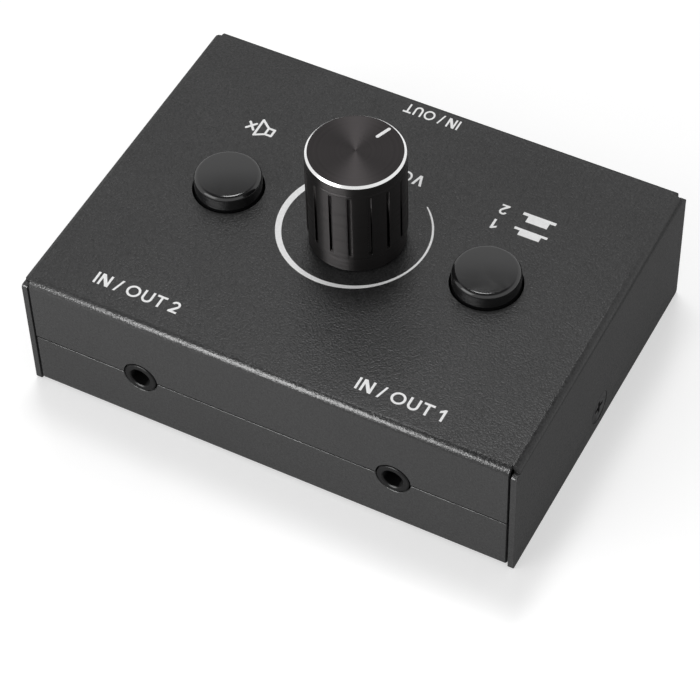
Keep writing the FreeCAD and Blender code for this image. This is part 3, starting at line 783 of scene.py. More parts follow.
@dataclass(frozen=True)
class Extent:
    """A node's box in millimetres."""

    low: Point3
    high: Point3

    @classmethod
    def of(cls, node: str) -> "Extent":
        """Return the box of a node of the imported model."""
        low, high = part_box(node)
        return cls(tuple(c / MM for c in low), tuple(c / MM for c in high))

    @property
    def middle(self) -> Point2:
        """The box's middle, seen from above."""
        return ((self.low[0] + self.high[0]) / 2, (self.low[1] + self.high[1]) / 2)

    @property
    def radius(self) -> float:
        """Half the box's width."""
        return (self.high[0] - self.low[0]) / 2


def dress(piece: bpy.types.Object, material: bpy.types.Material) -> None:
    """Give an object one material all over."""
    piece.data.materials.clear()
    piece.data.materials.append(material)


def mount(piece: bpy.types.Object, body: Body,
          stands_for: Iterable[str] = ()) -> bpy.types.Object:
    """Make a piece ride on its body, and hide the nodes that it stands for.

    Args:
        piece: The finished piece, in place.
        body: The body that carries it.
        stands_for: The nodes that it hides.

    Returns:
        The piece.
    """
    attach(piece, body.value)
    for node in stands_for:
        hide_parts(node)
    log.info("%s rides on %s, %d faces", piece.name, body.value, len(piece.data.polygons))
    return piece


# ------------------------------------------------------------------ geometry node trees

class GeometryTool:
    """A geometry node tree with named inputs, and how it is run on an object."""

    def __init__(self, name: str, inputs: dict[str, str]) -> None:
        """Open a tree whose first input and only output is Geometry."""
        self.tree = bpy.data.node_groups.new(name, "GeometryNodeTree")
        declare(self.tree, "INPUT", {"Geometry": "Geometry", **inputs, "Finish": "Material"})
        declare(self.tree, "OUTPUT", {"Geometry": "Geometry"})
        self.sheet = Tree(self.tree)
        self.given = self.sheet.add("NodeGroupInput")

    def close(self, instances: bpy.types.NodeSocket, merge: float) -> None:
        """End the tree.

        Args:
            instances: The instances to make real.
            merge: Points closer than this many millimetres become one.
        """
        real = self.sheet.add("GeometryNodeRealizeInstances", Geometry=instances)
        whole = self.sheet.add("GeometryNodeMergeByDistance", Distance=merge * MM,
                               Geometry=real.outputs["Geometry"])
        dressed = self.sheet.add("GeometryNodeSetMaterial", Geometry=whole.outputs["Geometry"],
                                 Material=self.given.outputs["Finish"])
        out = self.sheet.add("NodeGroupOutput")
        self.sheet.feed(out.inputs["Geometry"], dressed.outputs["Geometry"])

    def run(self, piece: bpy.types.Object, values: dict[str, object],
            finish: bpy.types.Material) -> bpy.types.Object:
        """Run the tree on an object and keep the result as its mesh.

        Args:
            piece: The object.
            values: The tree's inputs by name.
            finish: The material that the result gets.

        Returns:
            The same object with a plain mesh and no modifier.
        """
        modifier = piece.modifiers.new(self.tree.name, "NODES")
        modifier.node_group = self.tree
        sockets = {item.name: item.identifier for item in self.tree.interface.items_tree
                   if item.in_out == "INPUT"}
        for name, value in {**values, "Finish": finish}.items():
            modifier[sockets[name]] = value
        settle(piece)
        smooth(piece)
        return piece


def repeat_round_axis() -> GeometryTool:
    """Return the tool that repeats one sector round an upright axis and joins the copies."""
    tool = GeometryTool("repeat_round_axis", {"Count": "Int", "Phase": "Float",
                                              "Centre": "Vector"})
    sheet, given = tool.sheet, tool.given.outputs
    spots = sheet.add("GeometryNodeMeshLine", Count=given["Count"])
    sheet.feed(spots.inputs["Start Location"], given["Centre"])
    spots.inputs["Offset"].default_value = (0.0, 0.0, 0.0)
    index = sheet.add("GeometryNodeInputIndex")
    turn = sheet.math("ADD", given["Phase"], sheet.math(
        "MULTIPLY", index.outputs["Index"],
        sheet.math("DIVIDE", 2 * math.pi, given["Count"])))
    about = sheet.add("ShaderNodeCombineXYZ", Z=turn)
    copies = sheet.add("GeometryNodeInstanceOnPoints", Points=spots.outputs["Mesh"],
                       Instance=given["Geometry"], Rotation=about.outputs[0])
    tool.close(copies.outputs["Instances"], 0.002)
    return tool


def set_out_on_points() -> GeometryTool:
    """Return the tool that sets a part at each point of a mesh, turned as its 'turn' says."""
    tool = GeometryTool("set_out_on_points", {"Part": "Object"})
    sheet, given = tool.sheet, tool.given.outputs
    part = sheet.add("GeometryNodeObjectInfo", Object=given["Part"])
    turn = sheet.add("GeometryNodeInputNamedAttribute", data_type="FLOAT_VECTOR", Name="turn")
    copies = sheet.add("GeometryNodeInstanceOnPoints", Points=given["Geometry"],
                       Instance=part.outputs["Geometry"],
                       Rotation=turn.outputs["Attribute"])
    tool.close(copies.outputs["Instances"], 0.0005)
    return tool


def points_piece(name: str, places: Sequence[Point3],
                 turns: Sequence[Point3]) -> bpy.types.Object:
    """Return an object that is only points, each with the turn of what will stand there.

    Args:
        name: The object's name.
        places: The points in millimetres.
        turns: The turn at each point, in degrees about X, Y and Z.
    """
    mesh = bpy.data.meshes.new(name)
    mesh.from_pydata([[c * MM for c in place] for place in places], [], [])
    turn = mesh.attributes.new("turn", "FLOAT_VECTOR", "POINT")
    turn.data.foreach_set("vector", [math.radians(a) for given in turns for a in given])
    piece = bpy.data.objects.new(name, mesh)
    bpy.context.scene.collection.objects.link(piece)
    return piece


# ------------------------------------------------------------------ enclosure

@dataclass
class FoldedSkin:
    """The outer skin of a folded sheet, drawn face by face and then given its thickness."""

    name: str
    sheet: float
    bm: bmesh.types.BMesh = field(default_factory=bmesh.new)

    def panel(self, outline: Sequence[Point2], place: Matrix,
              holes: Iterable[Sequence[Point2]] = ()) -> None:
        """Draw a flat panel.

        Args:
            outline: Its corners in its own plane.
            place: Where that plane stands.
            holes: The corners of each hole's edge.
        """
        edges = []
        for ring in (outline, *holes):
            verts = [self.bm.verts.new(place @ Vector((x, y, 0.0))) for x, y in ring]
            edges += [self.bm.edges.new(pair) for pair in zip(verts, verts[1:] + verts[:1])]
        bmesh.ops.triangle_fill(self.bm, edges=edges, use_beauty=True, use_dissolve=False)

    def fold(self, near: Vector, far: Vector, out: Vector, up: Vector, radius: float,
             steps: int = 8) -> None:
        """Draw a quarter-round fold.

        Args:
            near: One end of the line that it bends about.
            far: The other end.
            out: The direction of one of the faces that it joins.
            up: The direction of the other.
            radius: The outside radius.
            steps: How many faces go round it.
        """
        rows = []
        for k in range(steps + 1):
            turn = math.pi / 2 * k / steps
            spoke = out * (radius * math.cos(turn)) + up * (radius * math.sin(turn))
            rows.append([self.bm.verts.new(end + spoke) for end in (near, far)])
        for low, high in zip(rows, rows[1:]):
            self.bm.faces.new((low[0], low[1], high[1], high[0]))

    def finished(self, outwards: Vector, edge: float) -> bpy.types.Object:
        """Give the skin its thickness and soft edges.

        Args:
            outwards: The direction in which most of the flat skin looks.
            edge: The width of its edges' rounding.

        Returns:
            The finished object.
        """
        bm = self.bm
        bmesh.ops.remove_doubles(bm, verts=bm.verts, dist=1e-3)
        bmesh.ops.recalc_face_normals(bm, faces=bm.faces)
        if sum(f.normal.dot(outwards) * f.calc_area() for f in bm.faces) < 0:
            bmesh.ops.reverse_faces(bm, faces=bm.faces)
        piece = in_metres(bm, self.name)
        solid = piece.modifiers.new("thickness", "SOLIDIFY")
        solid.thickness = self.sheet * MM
        solid.offset = -1.0
        solid.use_even_offset = True
        solid.use_quality_normals = True
        settle(piece)
        soften_edges(piece, edge)
        keep_panels_flat(piece)
        return piece


@dataclass
class Enclosure:
    """The folded steel case: cover, tray and side screws. Lengths are in millimetres."""

    width: float = 88.0
    depth: float = 65.0
    height: float = 24.6
    sheet: float = 1.0
    fold_radius: float = 1.4
    seam: float = 11.2
    seam_gap: float = 0.3
    corner: float = 0.5
    edge: float = 0.15
    tab_width: float = 24.0
    tab_height: float = 9.0
    tab_relief: float = 1.0
    tray_clearance: float = 0.1
    screw_height: float = 4.6
    screw_head_radius: float = 2.9
    screw_head_clearance: float = 0.05
    screw_hole_radius: float = 1.55
    screw_sunk: float = 0.1
    screw_rim: float = 0.12
    screw_radius: float = 1.5
    screw_length: float = 6.0
    screw_tip: float = 0.3
    thread_pitch: float = 0.5
    thread_depth: float = 0.22
    jack_hole_radius: float = 3.1
    jack_offset: float = 22.9
    hole_steps: int = 48

    @property
    def flange(self) -> float:
        """Half the length of the front and rear walls."""
        return self.width / 2 - self.fold_radius

    @property
    def inner_depth(self) -> float:
        """Half the depth of the flat top."""
        return self.depth / 2 - self.fold_radius

    def ring(self, centre: Point2, radius: float) -> list[Point2]:
        """Return the edge of a round hole."""
        return arc(centre, radius, 0.0, 360.0, self.hole_steps)[:-1]

    def front_outline(self, low: float, high: float, notches: Sequence[float],
                      upper: bool) -> list[Point2]:
        """Return a front or rear wall's outline with the half-round jack notches in one edge.

        Args:
            low: Height of its lower edge.
            high: Height of its upper edge.
            notches: The place of each jack along the wall, in rising order.
            upper: Whether the notches are in the upper edge.
        """
        radius = self.jack_hole_radius
        level = high if upper else low
        start = math.degrees(math.asin((level - self.seam) / radius))
        edge = [(-self.flange, level)]
        for x in notches:
            if upper:
                edge += arc((x, self.seam), radius, 180.0 - start, 360.0 + start,
                            self.hole_steps // 2)
            else:
                edge += arc((x, self.seam), radius, 180.0 - start, start, self.hole_steps // 2)
        edge.append((self.flange, level))
        other = low if upper else high
        return edge + [(self.flange, other), (-self.flange, other)]

    def wall_place(self, side: int) -> Matrix:
        """Return the plane of the front (-1) or rear (1) wall: its X, and height upwards."""
        return Matrix(((1, 0, 0, 0), (0, 0, 1, side * self.depth / 2), (0, 1, 0, 0),
                       (0, 0, 0, 1)))

    def side_place(self, x: float) -> Matrix:
        """Return the plane of a side wall: the case's Y, and height upwards."""
        return Matrix(((0, 0, 1, x), (1, 0, 0, 0), (0, 1, 0, 0), (0, 0, 0, 1)))

    def side_outline(self) -> list[Point2]:
        """Return a side wall's outline: full height, with its exposed corners rounded."""
        half, top = self.depth / 2, self.height - self.fold_radius
        round_ = self.corner
        lower = arc((half - round_, round_), round_, -90.0, 0.0, 4)
        upper = arc((half - round_, top - round_), round_, 0.0, 90.0, 4)
        right = lower + upper + [(self.inner_depth, top)]
        left = [(-y, z) for y, z in reversed(right)]
        return right + left

    def cover(self, openings: Iterable[Sequence[Point2]]) -> bpy.types.Object:
        """Return the top cover.

        Args:
            openings: The edges of the holes in the top face.
        """
        skin = FoldedSkin("cover_shell", self.sheet)
        level = self.height - self.fold_radius
        flat = [(-self.flange, -self.inner_depth), (self.flange, -self.inner_depth),
                (self.flange, self.inner_depth), (-self.flange, self.inner_depth)]
        skin.panel(flat, Matrix.Translation((0, 0, self.height)), openings)
        for side, notches in ((-1, (-self.jack_offset, self.jack_offset)), (1, (0.0,))):
            y = side * self.inner_depth
            skin.fold(Vector((-self.flange, y, level)), Vector((self.flange, y, level)),
                      Vector((0, side, 0)), Vector((0, 0, 1)), self.fold_radius)
            skin.panel(self.front_outline(self.seam + self.seam_gap / 2, level, notches, False),
                       self.wall_place(side))
            x = side * self.flange
            skin.fold(Vector((x, -self.inner_depth, level)), Vector((x, self.inner_depth, level)),
                      Vector((side, 0, 0)), Vector((0, 0, 1)), self.fold_radius)
            skin.panel(self.side_outline(), self.side_place(side * self.width / 2),
                       [self.ring((0.0, self.screw_height),
                                  self.screw_head_radius + self.screw_head_clearance)])
        return skin.finished(Vector((0, 0, 1)), self.edge)

    def tray(self) -> bpy.types.Object:
        """Return the bottom tray."""
        skin = FoldedSkin("tray_shell", self.sheet)
        face = self.width / 2 - self.sheet - self.tray_clearance
        bend = face - self.fold_radius
        tab, reach = self.tab_width / 2, self.tab_width / 2 + self.tab_relief
        right = [(self.flange, -self.inner_depth), (self.flange, -reach), (bend, -reach),
                 (bend, -tab), (bend, tab), (bend, reach), (self.flange, reach),
                 (self.flange, self.inner_depth)]
        skin.panel(right + [(-x, -y) for x, y in right], Matrix.Identity(4))
        for side, notches in ((-1, (-self.jack_offset, self.jack_offset)), (1, (0.0,))):
            y = side * self.inner_depth
            skin.fold(Vector((-self.flange, y, self.fold_radius)),
                      Vector((self.flange, y, self.fold_radius)),
                      Vector((0, side, 0)), Vector((0, 0, -1)), self.fold_radius)
            skin.panel(self.front_outline(self.fold_radius, self.seam - self.seam_gap / 2,
                                          notches, True), self.wall_place(side))
            x = side * bend
            skin.fold(Vector((x, -tab, self.fold_radius)), Vector((x, tab, self.fold_radius)),
                      Vector((side, 0, 0)), Vector((0, 0, -1)), self.fold_radius)
            skin.panel([(-tab, self.fold_radius), (tab, self.fold_radius),
                        (tab, self.tab_height), (-tab, self.tab_height)],
                       self.side_place(side * face),
                       [self.ring((0.0, self.screw_height), self.screw_hole_radius)])
        return skin.finished(Vector((0, 0, -1)), self.edge)

    def paint_seam_shade(self, shell: bpy.types.Object, material: bpy.types.Material) -> None:
        """Paint shade into the seam: the sheet's level cut edges there take a dark finish
        that stands in for the shadow in the gap.

        Args:
            shell: The cover or the tray.
            material: The dark finish that paints that shade.
        """
        shell.data.materials.append(material)
        for polygon in shell.data.polygons:
            height = polygon.center.z / MM - self.seam
            if abs(polygon.normal.z) > 0.98 and abs(height) < self.seam_gap:
                polygon.material_index = 1

    def side_screw(self) -> bpy.types.Object:
        """Return a countersunk screw along -Z, with z 0 at the face that it sits in."""
        top, radius, neck = -self.screw_sunk, self.screw_radius, -self.sheet
        rise = self.thread_pitch / 2
        outline = [(0.0, top), (self.screw_head_radius, top),
                   (self.screw_head_radius, top - self.screw_rim), (radius, neck)]
        ridge = neck - rise
        while ridge > self.screw_tip - self.screw_length:
            outline += [(radius, ridge), (radius - self.thread_depth, ridge - rise)]
            ridge -= self.thread_pitch
        outline += [(radius - self.screw_tip, -self.screw_length), (0.0, -self.screw_length)]
        bm = bmesh.new()
        lathe(bm, softened(outline, [0.0, 0.06] + [0.0] * len(outline), 3), segments=64)
        return cut_cross(made(bm, "side_screw_blank"), top)

    def build(self, materials: dict[str, bpy.types.Material], tool: GeometryTool,
              openings: Iterable[Sequence[Point2]]) -> None:
        """Make and dress the enclosure.

        Args:
            materials: The finished materials.
            tool: The tool that sets out repeated parts.
            openings: The edges of the holes in the top face.
        """
        for shell, node in ((self.cover(openings), "top_cover"), (self.tray(), "bottom_tray")):
            dress(shell, materials["case"])
            # Painted shade: the seam's cut edges take the black screw finish in place of the gap's
            # shadow.
            self.paint_seam_shade(shell, materials["black_screw"])
            mount(shell, Body.CASE, [node])
        blank = self.side_screw()
        places = [(side * self.width / 2, 0.0, self.screw_height) for side in (-1, 1)]
        screws = points_piece("side_screws", places, [(0, side * 90, 0) for side in (-1, 1)])
        tool.run(screws, {"Part": blank}, materials["black_screw"])
        bpy.data.objects.remove(blank)
        mount(screws, Body.CASE, ["cover_screws"])


# Height above the head's top, half length and half width of a bar of the recess, going down.
CROSS_LEVELS: tuple[Point3, ...] = ((0.3, 1.55, 0.42), (-0.35, 1.3, 0.34), (-0.8, 0.4, 0.3))


def cut_cross(screw: bpy.types.Object, top: float) -> bpy.types.Object:
    """Cut a tapered cross recess in a screw's head.

    Args:
        screw: The screw, upright at the origin.
        top: Height of the head's top, in millimetres.

    Returns:
        The same screw.
    """
    for turn in (0.0, math.pi / 2):
        bm = bmesh.new()
        rows = []
        for level, length, width in CROSS_LEVELS:
            rows.append([bm.verts.new((x * length, y * width, top + level))
                         for x, y in ((-1, -1), (1, -1), (1, 1), (-1, 1))])
        for low, high in zip(rows, rows[1:]):
            for k in range(4):
                bm.faces.new((low[k], low[(k + 1) % 4], high[(k + 1) % 4], high[k]))
        bm.faces.new(rows[0])
        bm.faces.new(rows[-1])
        bmesh.ops.rotate(bm, verts=bm.verts, cent=(0, 0, 0), matrix=Matrix.Rotation(turn, 3, "Z"))
        combine(screw, made(bm, "recess"), "DIFFERENCE")
    smooth(screw)
    return screw


# ------------------------------------------------------------------ jacks

@dataclass
class Jack:
    """A moulded 3.5 mm jack: body, round nose and bore. Lengths are in millimetres."""

    name: str
    x: float
    facing: int
    wall: float = 32.5
    axis_height: float = 11.2
    proud: float = 0.15
    nose_radius: float = 2.85
    bore_radius: float = 1.8
    mouth: float = 0.2
    body_front: float = 31.3
    body_length: float = 13.6
    body_width: float = 7.0
    body_height: float = 6.0
    body_edge: float = 0.25
    back_wall: float = 0.75
    root: float = 0.4
    bore_past: float = 0.5
    slot_past: float = 0.2
    slots: tuple[Point2, ...] = ((-1, 3.2), (1, 6.8), (-1, 10.4))
    slot_width: float = 1.3
    slot_height: float = 0.4

    def drawn(self) -> bpy.types.Object:
        """Return the jack, facing -Y at the origin's X and Y, before it is put in place."""
        half = self.body_width / 2
        low = self.axis_height - self.body_height / 2
        bm = bmesh.new()
        box(bm, (-half, -self.body_front, low),
            (half, -self.body_front + self.body_length, low + self.body_height))
        body = soften_edges(made(bm, self.name), self.body_edge, 2)
        face, root = self.wall + self.proud, self.body_front - self.root
        nose = [(0.0, face), (self.nose_radius, face), (self.nose_radius, root), (0.0, root)]
        bm = bmesh.new()
        lathe(bm, softened(nose, [0.0, 0.3, 0.0, 0.0]), segments=64)
        self.lay_forward(bm)
        combine(body, made(bm, "nose"), "UNION")
        end = self.body_front - self.body_length + self.back_wall
        lip, past = self.bore_radius + self.mouth, self.bore_past
        bore = [(0.0, face + past), (lip + past, face + past), (lip, face),
                (self.bore_radius, face - self.mouth), (self.bore_radius, end), (0.0, end)]
        bm = bmesh.new()
        lathe(bm, softened(bore, [0.0, 0.0, 0.0, 0.3, 0.0, 0.0]), segments=64)
        self.lay_forward(bm)
        combine(body, made(bm, "bore"), "DIFFERENCE")
        for side, step in self.slots:
            y = -self.body_front + step
            bm = bmesh.new()
            low_x, high_x = sorted((0.0, side * (half + self.slot_past)))
            box(bm, (low_x, y - self.slot_width / 2, self.axis_height - self.slot_height / 2),
                (high_x, y + self.slot_width / 2, self.axis_height + self.slot_height / 2))
            combine(body, made(bm, "slot"), "DIFFERENCE")
        smooth(body, 32.0)
        return body

    def lay_forward(self, bm: bmesh.types.BMesh) -> None:
        """Lay an upright lathe part along -Y, at the jack's height."""
        bmesh.ops.rotate(bm, verts=bm.verts, cent=(0, 0, 0),
                         matrix=Matrix.Rotation(math.radians(90), 3, "X"))
        bmesh.ops.translate(bm, verts=bm.verts, vec=(0, 0, self.axis_height))

    def build(self, materials: dict[str, bpy.types.Material]) -> None:
        """Make the jack, put it in place and dress it."""
        piece = self.drawn()
        turn = Matrix.Rotation(math.pi if self.facing > 0 else 0.0, 4, "Z")
        piece.data.transform(Matrix.Translation((self.x * MM, 0, 0)) @ turn)
        dress(piece, materials["jack"])
        mount(piece, Body.CASE, [self.name + "_housing"])


# ------------------------------------------------------------------ buttons

@dataclass
class ButtonCap:
    """A round push-button cap with a hollow and a socket. Lengths are in millimetres."""

    name: str
    body: Body
    taper: float = 0.15
    edge: float = 0.85
    wall: float = 1.0
    roof: float = 1.4
    boss_radius: float = 2.9
    socket_radius: float = 2.4
    socket_roof: float = 5.95
    crown: float = 0.3
    foot_round: float = 0.2
    roof_round: float = 0.3
    socket_round: float = 0.15
    hole_clearance: float = 0.25

    @property
    def extent(self) -> Extent:
        """The box that the cap fills."""
        return Extent.of(self.name + "_button_cap")

    def opening(self, steps: int = 48) -> list[Point2]:
        """Return the edge of the hole that the cap moves in."""
        return arc(self.extent.middle, self.extent.radius + self.hole_clearance, 0.0, 360.0,
                   steps)[:-1]

    def crowned(self, radius: float, top: float, steps: int = 8) -> list[Point2]:
        """Return the slightly domed top, from the axis outwards.

        Args:
            radius: Where the dome ends.
            top: Its height at the axis.
            steps: How many runs it is divided into.
        """
        return [(radius * k / steps, top - self.crown * (k / steps) ** 2)
                for k in range(steps + 1)]

    def build(self, materials: dict[str, bpy.types.Material]) -> None:
        """Make the cap, put it in place and dress it."""
        low, top = self.extent.low[2], self.extent.high[2]
        base = self.extent.radius
        rim = base - self.taper
        under = top - self.roof
        socket_top = top - self.socket_roof
        outline = self.crowned(rim, top)
        radii = [0.0] * (len(outline) - 1)
        outline += [(base, low), (base - self.wall, low), (rim - self.wall, under),
                    (self.boss_radius, under), (self.boss_radius, low),
                    (self.socket_radius, low), (self.socket_radius, socket_top),
                    (0.0, socket_top)]
        radii += [self.edge, self.foot_round, self.foot_round, self.roof_round, self.roof_round,
                  self.socket_round, self.socket_round, 0.0, 0.0]
        bm = bmesh.new()
        lathe(bm, softened(outline, radii, 8), self.extent.middle, 128)
        piece = made(bm, self.name + "_cap_piece", 40.0)
        dress(piece, materials["button"])
        mount(piece, self.body, [self.name + "_button_cap"])


@dataclass
class ReturnSpring:
    """The coil spring under a button's plunger. Lengths are in millimetres.

    It stands on the floor of its chamber. The real spring shortens as the button goes down;
    this one is drawn at rest.
    """

    name: str
    turns: int = 4
    wire: float = 0.3
    floor: float = 9.0
    shortened: float = 0.375
    steps: int = 40
    sides: int = 10

    @property
    def extent(self) -> Extent:
        """The box that the spring fills at rest."""
        return Extent.of(self.name + "_switch_spring")

    def ring(self, share: float) -> list[Vector]:
        """Return the wire's round section at a share of its length."""
        low, high = self.extent.low[2], self.extent.high[2]
        half = self.wire / 2
        radius = self.extent.radius - half
        rise = high - low - self.wire
        turn = 2 * math.pi * self.turns * share
        out = Vector((math.cos(turn), math.sin(turn), 0.0))
        along = Vector((-out.y * radius, out.x * radius, rise / (2 * math.pi * self.turns)))
        up = out.cross(along).normalized()
        middle = Vector((*self.extent.middle, low + half + rise * share)) + out * radius
        return [middle + (out * math.cos(a) + up * math.sin(a)) * half
                for a in (2 * math.pi * k / self.sides for k in range(self.sides))]

    def build(self, materials: dict[str, bpy.types.Material]) -> None:
        """Make the spring, put it in place and dress it."""
        bm = bmesh.new()
        count = self.turns * self.steps
        rings = [[bm.verts.new(point) for point in self.ring(k / count)]
                 for k in range(count + 1)]
        for first, second in zip(rings, rings[1:]):
            for k in range(self.sides):
                following = (k + 1) % self.sides
                bm.faces.new((first[k], first[following], second[following], second[k]))
        bm.faces.new(rings[0])
        bm.faces.new(rings[-1])
        piece = made(bm, self.name + "_return_spring", 50.0)
        dress(piece, materials["spring"])
        mount(piece, Body.CASE, [self.name + "_switch_spring"])
        anchor = Vector((*self.extent.middle, self.floor)) * MM
        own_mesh(piece)


# ------------------------------------------------------------------ knob

@dataclass
class VolumeKnob:
    """The fluted metal knob. Lengths are in millimetres, angles in degrees."""

    x: float = KNOB_AXIS[0]
    y: float = KNOB_AXIS[1]
    foot: float = 24.9
    top: float = 44.5
    skirt_radius: float = 7.98
    skirt_height: float = 2.9
    body_radius: float = 8.2
    band_radius: float = 8.05
    band_height: float = 1.79
    step: float = 0.15
    chamfer: float = 0.36
    foot_round: float = 0.3
    flutes: int = 16
    flute_width: float = 0.6
    flute_depth: float = 0.7
    flute_base: float = 3.9
    flute_top_gap: float = 0.5
    flute_phase: float = 20.0
    side_columns: int = 5
    bushing_opening: float = 3.65
    hollow_radius: float = 6.6
    hollow_top: float = 29.2
    pointer_angle: float = 68.6
    pointer_inner: float = 4.3
    pointer_outer: float = 7.3
    pointer_width: float = 0.56
    pointer_depth: float = 0.2
    face_drop: float = 0.02
    rim_width: float = 0.03
    mark_radius: float = 0.28
    mark_depth: float = 0.07

    def outline(self) -> list[Point2]:
        """Return the body's profile from the hollow's roof, round the foot, up to the chamfer."""
        band = self.top - self.chamfer - self.band_height
        skirt = self.foot + self.skirt_height
        points = [(0.0, self.hollow_top), (self.hollow_radius, self.hollow_top),
                  (self.hollow_radius, self.foot), (self.skirt_radius, self.foot),
                  (self.skirt_radius, skirt), (self.body_radius, skirt + self.step),
                  (self.body_radius, self.flute_low), (self.body_radius, self.flute_high),
                  (self.body_radius, band), (self.band_radius, band + self.step),
                  (self.band_radius, self.top - self.chamfer), (0.0, self.top - self.chamfer)]
        radii = [0, 0.2, 0.15, self.foot_round, 0.04, 0.06, 0, 0, 0.06, 0.04, 0, 0]
        return softened(points, radii, 4)

    @property
    def flute_low(self) -> float:
        """Height of the flutes' lower ends."""
        return self.foot + self.flute_base

    @property
    def flute_high(self) -> float:
        """Height of the flutes' upper ends."""
        return self.top - self.chamfer - self.band_height - self.flute_top_gap

    def columns(self) -> list[float]:
        """Return the angles of a sector's columns, with the flute's edges among them."""
        half = 180.0 / self.flutes
        edge = math.degrees(math.asin(self.flute_width / 2 / self.body_radius))
        side = [half - (half - edge) * k / self.side_columns for k in range(self.side_columns + 1)]
        return [-a for a in side] + [a for a in reversed(side)]

    def sector(self) -> bpy.types.Object:
        """Return one sector of the body with its flute, about the origin's axis."""
        bm = bmesh.new()
        angles = [math.radians(a) for a in self.columns()]
        profile = self.outline()
        floor = self.body_radius - self.flute_depth
        middle = len(angles) // 2 - 1
        rows = [[(r * math.cos(a), r * math.sin(a), z) for a in angles] for r, z in profile]

        def face(corners: Sequence[Point3]) -> None:
            """Draw one face, leaving out corners that fall together."""
            unique = list(dict.fromkeys(tuple(round(c, 6) for c in p) for p in corners))
            if len(unique) > 2:
                bm.faces.new([bm.verts.new(p) for p in unique])

        for (r, z), low, (_, z_next), high in zip(profile, rows, profile[1:], rows[1:]):
            in_flute = abs(z - self.flute_low) < 1e-4 and abs(z_next - self.flute_high) < 1e-4
            for k in range(len(angles) - 1):
                if in_flute and k == middle:
                    continue
                face((low[k], low[k + 1], high[k + 1], high[k]))
            if in_flute:
                inner = math.sqrt(floor ** 2 - (self.flute_width / 2) ** 2)
                y = self.flute_width / 2
                back_low = [(inner, -y, z), (inner, y, z)]
                back_high = [(inner, -y, z_next), (inner, y, z_next)]
                front_low, front_high = low[middle:middle + 2], high[middle:middle + 2]
                face((back_low[0], back_low[1], back_high[1], back_high[0]))
                for k in (0, 1):
                    face((front_low[k], back_low[k], back_high[k], front_high[k]))
                face((front_low[0], front_low[1], back_low[1], back_low[0]))
                face((front_high[0], front_high[1], back_high[1], back_high[0]))
        bmesh.ops.remove_doubles(bm, verts=bm.verts, dist=1e-4)
        bmesh.ops.recalc_face_normals(bm, faces=bm.faces)
        outer = max(bm.faces, key=lambda f: f.calc_center_median().x)
        if outer.normal.x < 0:
            bmesh.ops.reverse_faces(bm, faces=bm.faces)
        return in_metres(bm, "knob_fluted_body")

    def end_face(self, materials: dict[str, bpy.types.Material]) -> bpy.types.Object:
        """Return the end of the knob: bright cut edge and spun face."""
        low = self.top - self.chamfer
        rim = self.band_radius - self.chamfer
        level = self.top - self.face_drop
        points = [(0.0, low), (self.band_radius, low), (rim, self.top),
                  (rim - self.rim_width, level), (self.mark_radius, level),
                  (self.mark_radius / 2, level - 0.06), (0.0, level - self.mark_depth)]
        bm = bmesh.new()
        lathe(bm, softened(points, [0, 0, 0, 0, 0.1, 0.05, 0], 3), (self.x, self.y), 192)
        piece = made(bm, "knob_end_face", 22.0)
        for name in ("knob_face", "cut_edge", "knob"):
            piece.data.materials.append(materials[name])
        for polygon in piece.data.polygons:
            away = math.hypot(polygon.center.x - self.x * MM, polygon.center.y - self.y * MM)
            if polygon.normal.z < -0.5:
                polygon.material_index = 2
            elif away > rim * MM:
                polygon.material_index = 1
        return piece

    def pointer(self) -> bpy.types.Object:
        """Return the round-ended pointer line, set in the knob's face."""
        half = self.pointer_width / 2
        outline = (arc((self.pointer_outer - half, 0), half, -90, 90, 10)
                   + arc((self.pointer_inner + half, 0), half, 90, 270, 10))
        bm = bmesh.new()
        slab(bm, outline, self.top - self.pointer_depth, self.top)
        bmesh.ops.rotate(bm, verts=bm.verts, cent=(0, 0, 0),
                         matrix=Matrix.Rotation(math.radians(self.pointer_angle), 3, "Z"))
        bmesh.ops.translate(bm, verts=bm.verts, vec=(self.x, self.y, 0))
        return made(bm, "knob_pointer_line")

    def build(self, materials: dict[str, bpy.types.Material], tool: GeometryTool) -> None:
        """Make and dress the knob.

        Args:
            materials: The finished materials.
            tool: The tool that repeats a sector round an axis.
        """
        body = self.sector()
        tool.run(body, {"Count": self.flutes, "Phase": math.radians(self.flute_phase),
                        "Centre": (self.x * MM, self.y * MM, 0.0)}, materials["knob"])
        soften_edges(body, 0.07, 2, 60.0)
        smooth(body, 28.0)
        mount(body, Body.KNOB, ["knob_shell"])
        mount(self.end_face(materials), Body.KNOB)
        line = self.pointer()
        dress(line, materials["ink"])
        mount(line, Body.KNOB)


# ------------------------------------------------------------------ printing

class Way(Enum):
    """Which way round a legend reads."""

    FROM_FRONT = 0.0
    FROM_REAR = 180.0


@dataclass(frozen=True)
class Legend:
    """A printed word or number and the box that it fills, in millimetres."""

    name: str
    text: str
    low: Point2
    high: Point2
    way: Way


